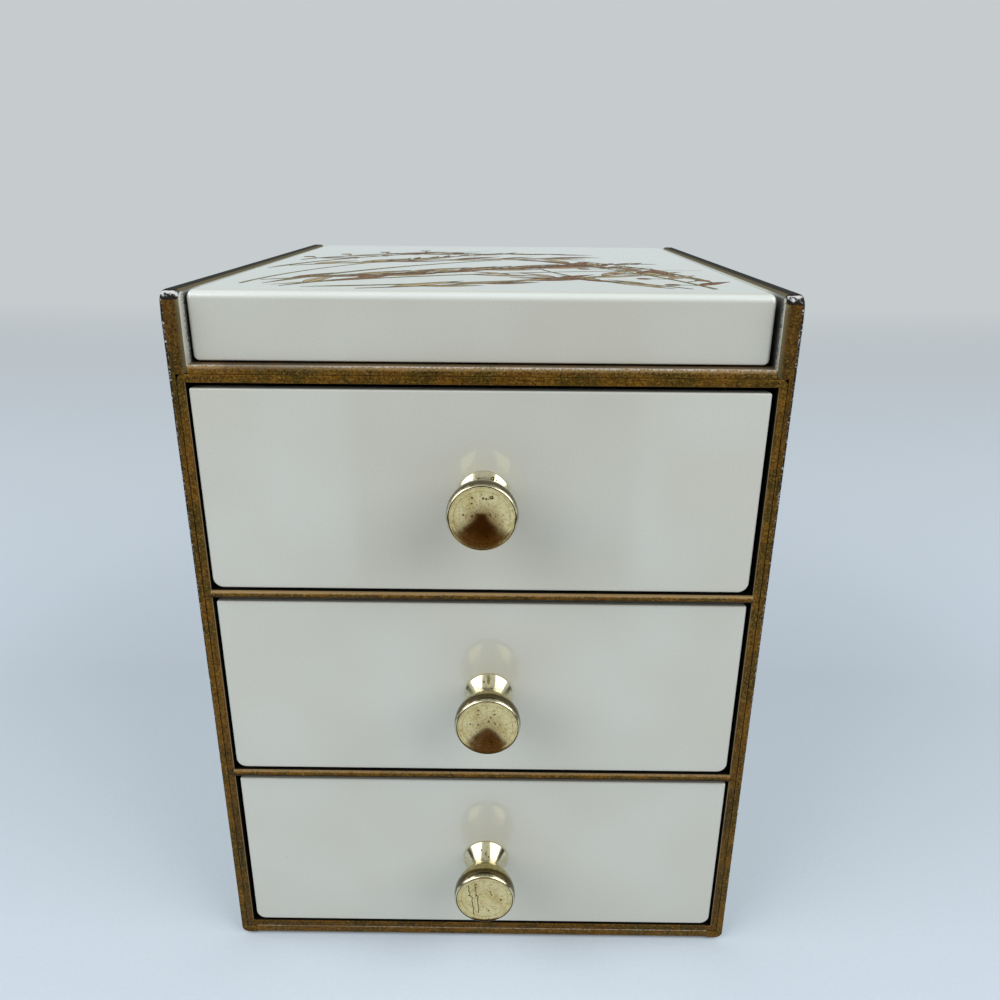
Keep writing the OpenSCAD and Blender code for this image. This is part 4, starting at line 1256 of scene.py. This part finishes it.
bpy.ops.object.select_all(action="DESELECT")
bpy.ops.mesh.primitive_plane_add(size=FLOOR_SIZE, location=(0, FLOOR_BACK - FLOOR_SIZE / 2, 0))
floor = bpy.context.object
floor.name = "pale_floor"
bpy.ops.object.transform_apply()
pick(floor, "EDGE", lambda edge: lies(edge, y=FLOOR_BACK))
bpy.ops.mesh.extrude_region_move(TRANSFORM_OT_translate={"value": (0, 0, BACKDROP_HEIGHT)})
pick(floor, "EDGE", lambda edge: lies(edge, y=FLOOR_BACK, z=0))
bpy.ops.mesh.bevel(offset=FLOOR_SWEEP, segments=24, affect="EDGES")
bpy.ops.object.mode_set(mode="OBJECT")
bpy.ops.object.shade_smooth()
floor_finish, tree, place, _ = new_finish("pale paper")
tooth = add(tree, "TexNoise", {"Vector": place, "Scale": 1 / (0.8 * mm), "Detail": 3.0})
paper = add(tree, "BsdfDiffuse", {
    "Color": add(tree, "Mix", {0: tooth, 6: colour(PAPER[0]), 7: colour(PAPER[1])},
                 data_type="RGBA").outputs[2],
    "Normal": add(tree, "Bump", {"Height": tooth, "Strength": 0.05, "Distance": 0.1 * mm})})
far = add(tree, "MapRange", {0: add(tree, "SeparateXYZ", {0: place}).outputs["Y"],
                             1: FLOOR_FADE[0], 2: FLOOR_FADE[1]})
backdrop = add(tree, "Emission", {"Color": colour(BACKDROP), "Strength": 1.0})
add(tree, "OutputMaterial", {"Surface": add(tree, "MixShader", {
    0: add(tree, "Math", {0: in_view(tree), 1: far}, operation="MULTIPLY"),
    1: paper, 2: backdrop})})
floor_finish.cycles.emission_sampling = "NONE"
floor.data.materials.append(floor_finish)

world = bpy.data.worlds.new("studio air")
bpy.context.scene.world = world
world.use_nodes = True
tree = world.node_tree
tree.nodes.clear()
seen = in_view(tree)
air = add(tree, "Background", {
    "Color": add(tree, "Mix", {0: seen, 6: colour("#FFFFFF"), 7: colour(AIR)},
                 data_type="RGBA").outputs[2],
    "Strength": add(tree, "MapRange", {0: seen, 3: AIR_LIGHT, 4: 1.0})})
add(tree, "OutputWorld", {"Surface": air})

for side in (-1, 1):
    bpy.ops.object.light_add(type="AREA", location=(side * LAMP_AT[0], *LAMP_AT[1:]))
    lamp = bpy.context.object
    lamp.name = "soft_window_" + ("left" if side < 0 else "right")
    lamp.rotation_euler = (LAMP_AIM - lamp.location).to_track_quat("-Z", "Y").to_euler()
    lamp.data.shape = "RECTANGLE"
    lamp.data.size, lamp.data.size_y = LAMP_SIZE
    lamp.data.energy = LAMP_POWER

for name, spot, size, turn, shade, reach in (
        ("knob_card", (0, -0.235, 0.09), (0.125, 0.19), (90, 0, 0), "#593F20", 0.27),
        ("front_card", (0, -0.67, 0.3), (1.1, 0.62), (90, 0, 0), "#6B675C", FAR),
        ("low_card_left", (-0.2, -0.08, 0.028), (0.36, 0.07), (90, 0, -90), "#3A3836", FAR),
        ("low_card_right", (0.2, -0.08, 0.028), (0.36, 0.07), (90, 0, 90), "#3A3836", FAR),
        ("overhead_card", (0, 0.38, 1.3), (1.3, 0.85), (0, 0, 0), "#787A6A", FAR),
        ("bright_card", (0, 0.9, 0.36), (1.9, 0.66), (90, 0, 0), "#D3DEDF", FAR)):
    bpy.ops.mesh.primitive_plane_add(size=1, location=spot,
                                     rotation=[radians(angle) for angle in turn])
    card = bpy.context.object
    card.name = name
    card.scale = (*size, 1)
    bpy.ops.object.transform_apply()
    card_finish, tree, _, _ = new_finish("soft card, " + name.replace("_", " "))
    across = add(tree, "SeparateXYZ", {0: add(tree, "TexCoord").outputs["UV"]})
    soft_x, soft_y = [add(tree, "MapRange", {0: add(tree, "Math", {
        0: add(tree, "Math", {0: across.outputs[axis], 1: 0.5}, operation="SUBTRACT")},
        operation="ABSOLUTE"), 1: 0.5, 2: CARD_FADE}, interpolation_type="SMOOTHSTEP")
        for axis in "XY"]
    near = add(tree, "MapRange", {0: add(tree, "LightPath").outputs["Ray Length"],
                                  1: reach, 2: reach - REACH_FADE})
    solid = add(tree, "Math", {0: add(tree, "Math", {0: soft_x, 1: soft_y}, operation="MULTIPLY"),
                               1: near}, operation="MULTIPLY")
    add(tree, "OutputMaterial", {"Surface": add(tree, "MixShader", {
        0: solid, 1: add(tree, "BsdfTransparent"),
        2: add(tree, "Emission", {"Color": colour(shade), "Strength": 1.0})})})
    card_finish.cycles.emission_sampling = "NONE"
    card.data.materials.append(card_finish)
    card.visible_camera = False
    card.visible_diffuse = False
    card.visible_shadow = False
    card.visible_transmission = False

bpy.ops.object.camera_add(location=CAMERA_AT)
camera = bpy.context.object
heading, tilt, roll = [Matrix.Rotation(radians(angle), 3, axis)
                       for angle, axis in zip(CAMERA_TURN, "ZXZ")]
camera.rotation_euler = (heading @ tilt @ roll).to_euler()
camera.data.sensor_width = 36
camera.data.lens = LENS
camera.data.clip_start = 0.01
bpy.context.scene.camera = camera
bpy.context.scene.view_settings.view_transform = "Standard"
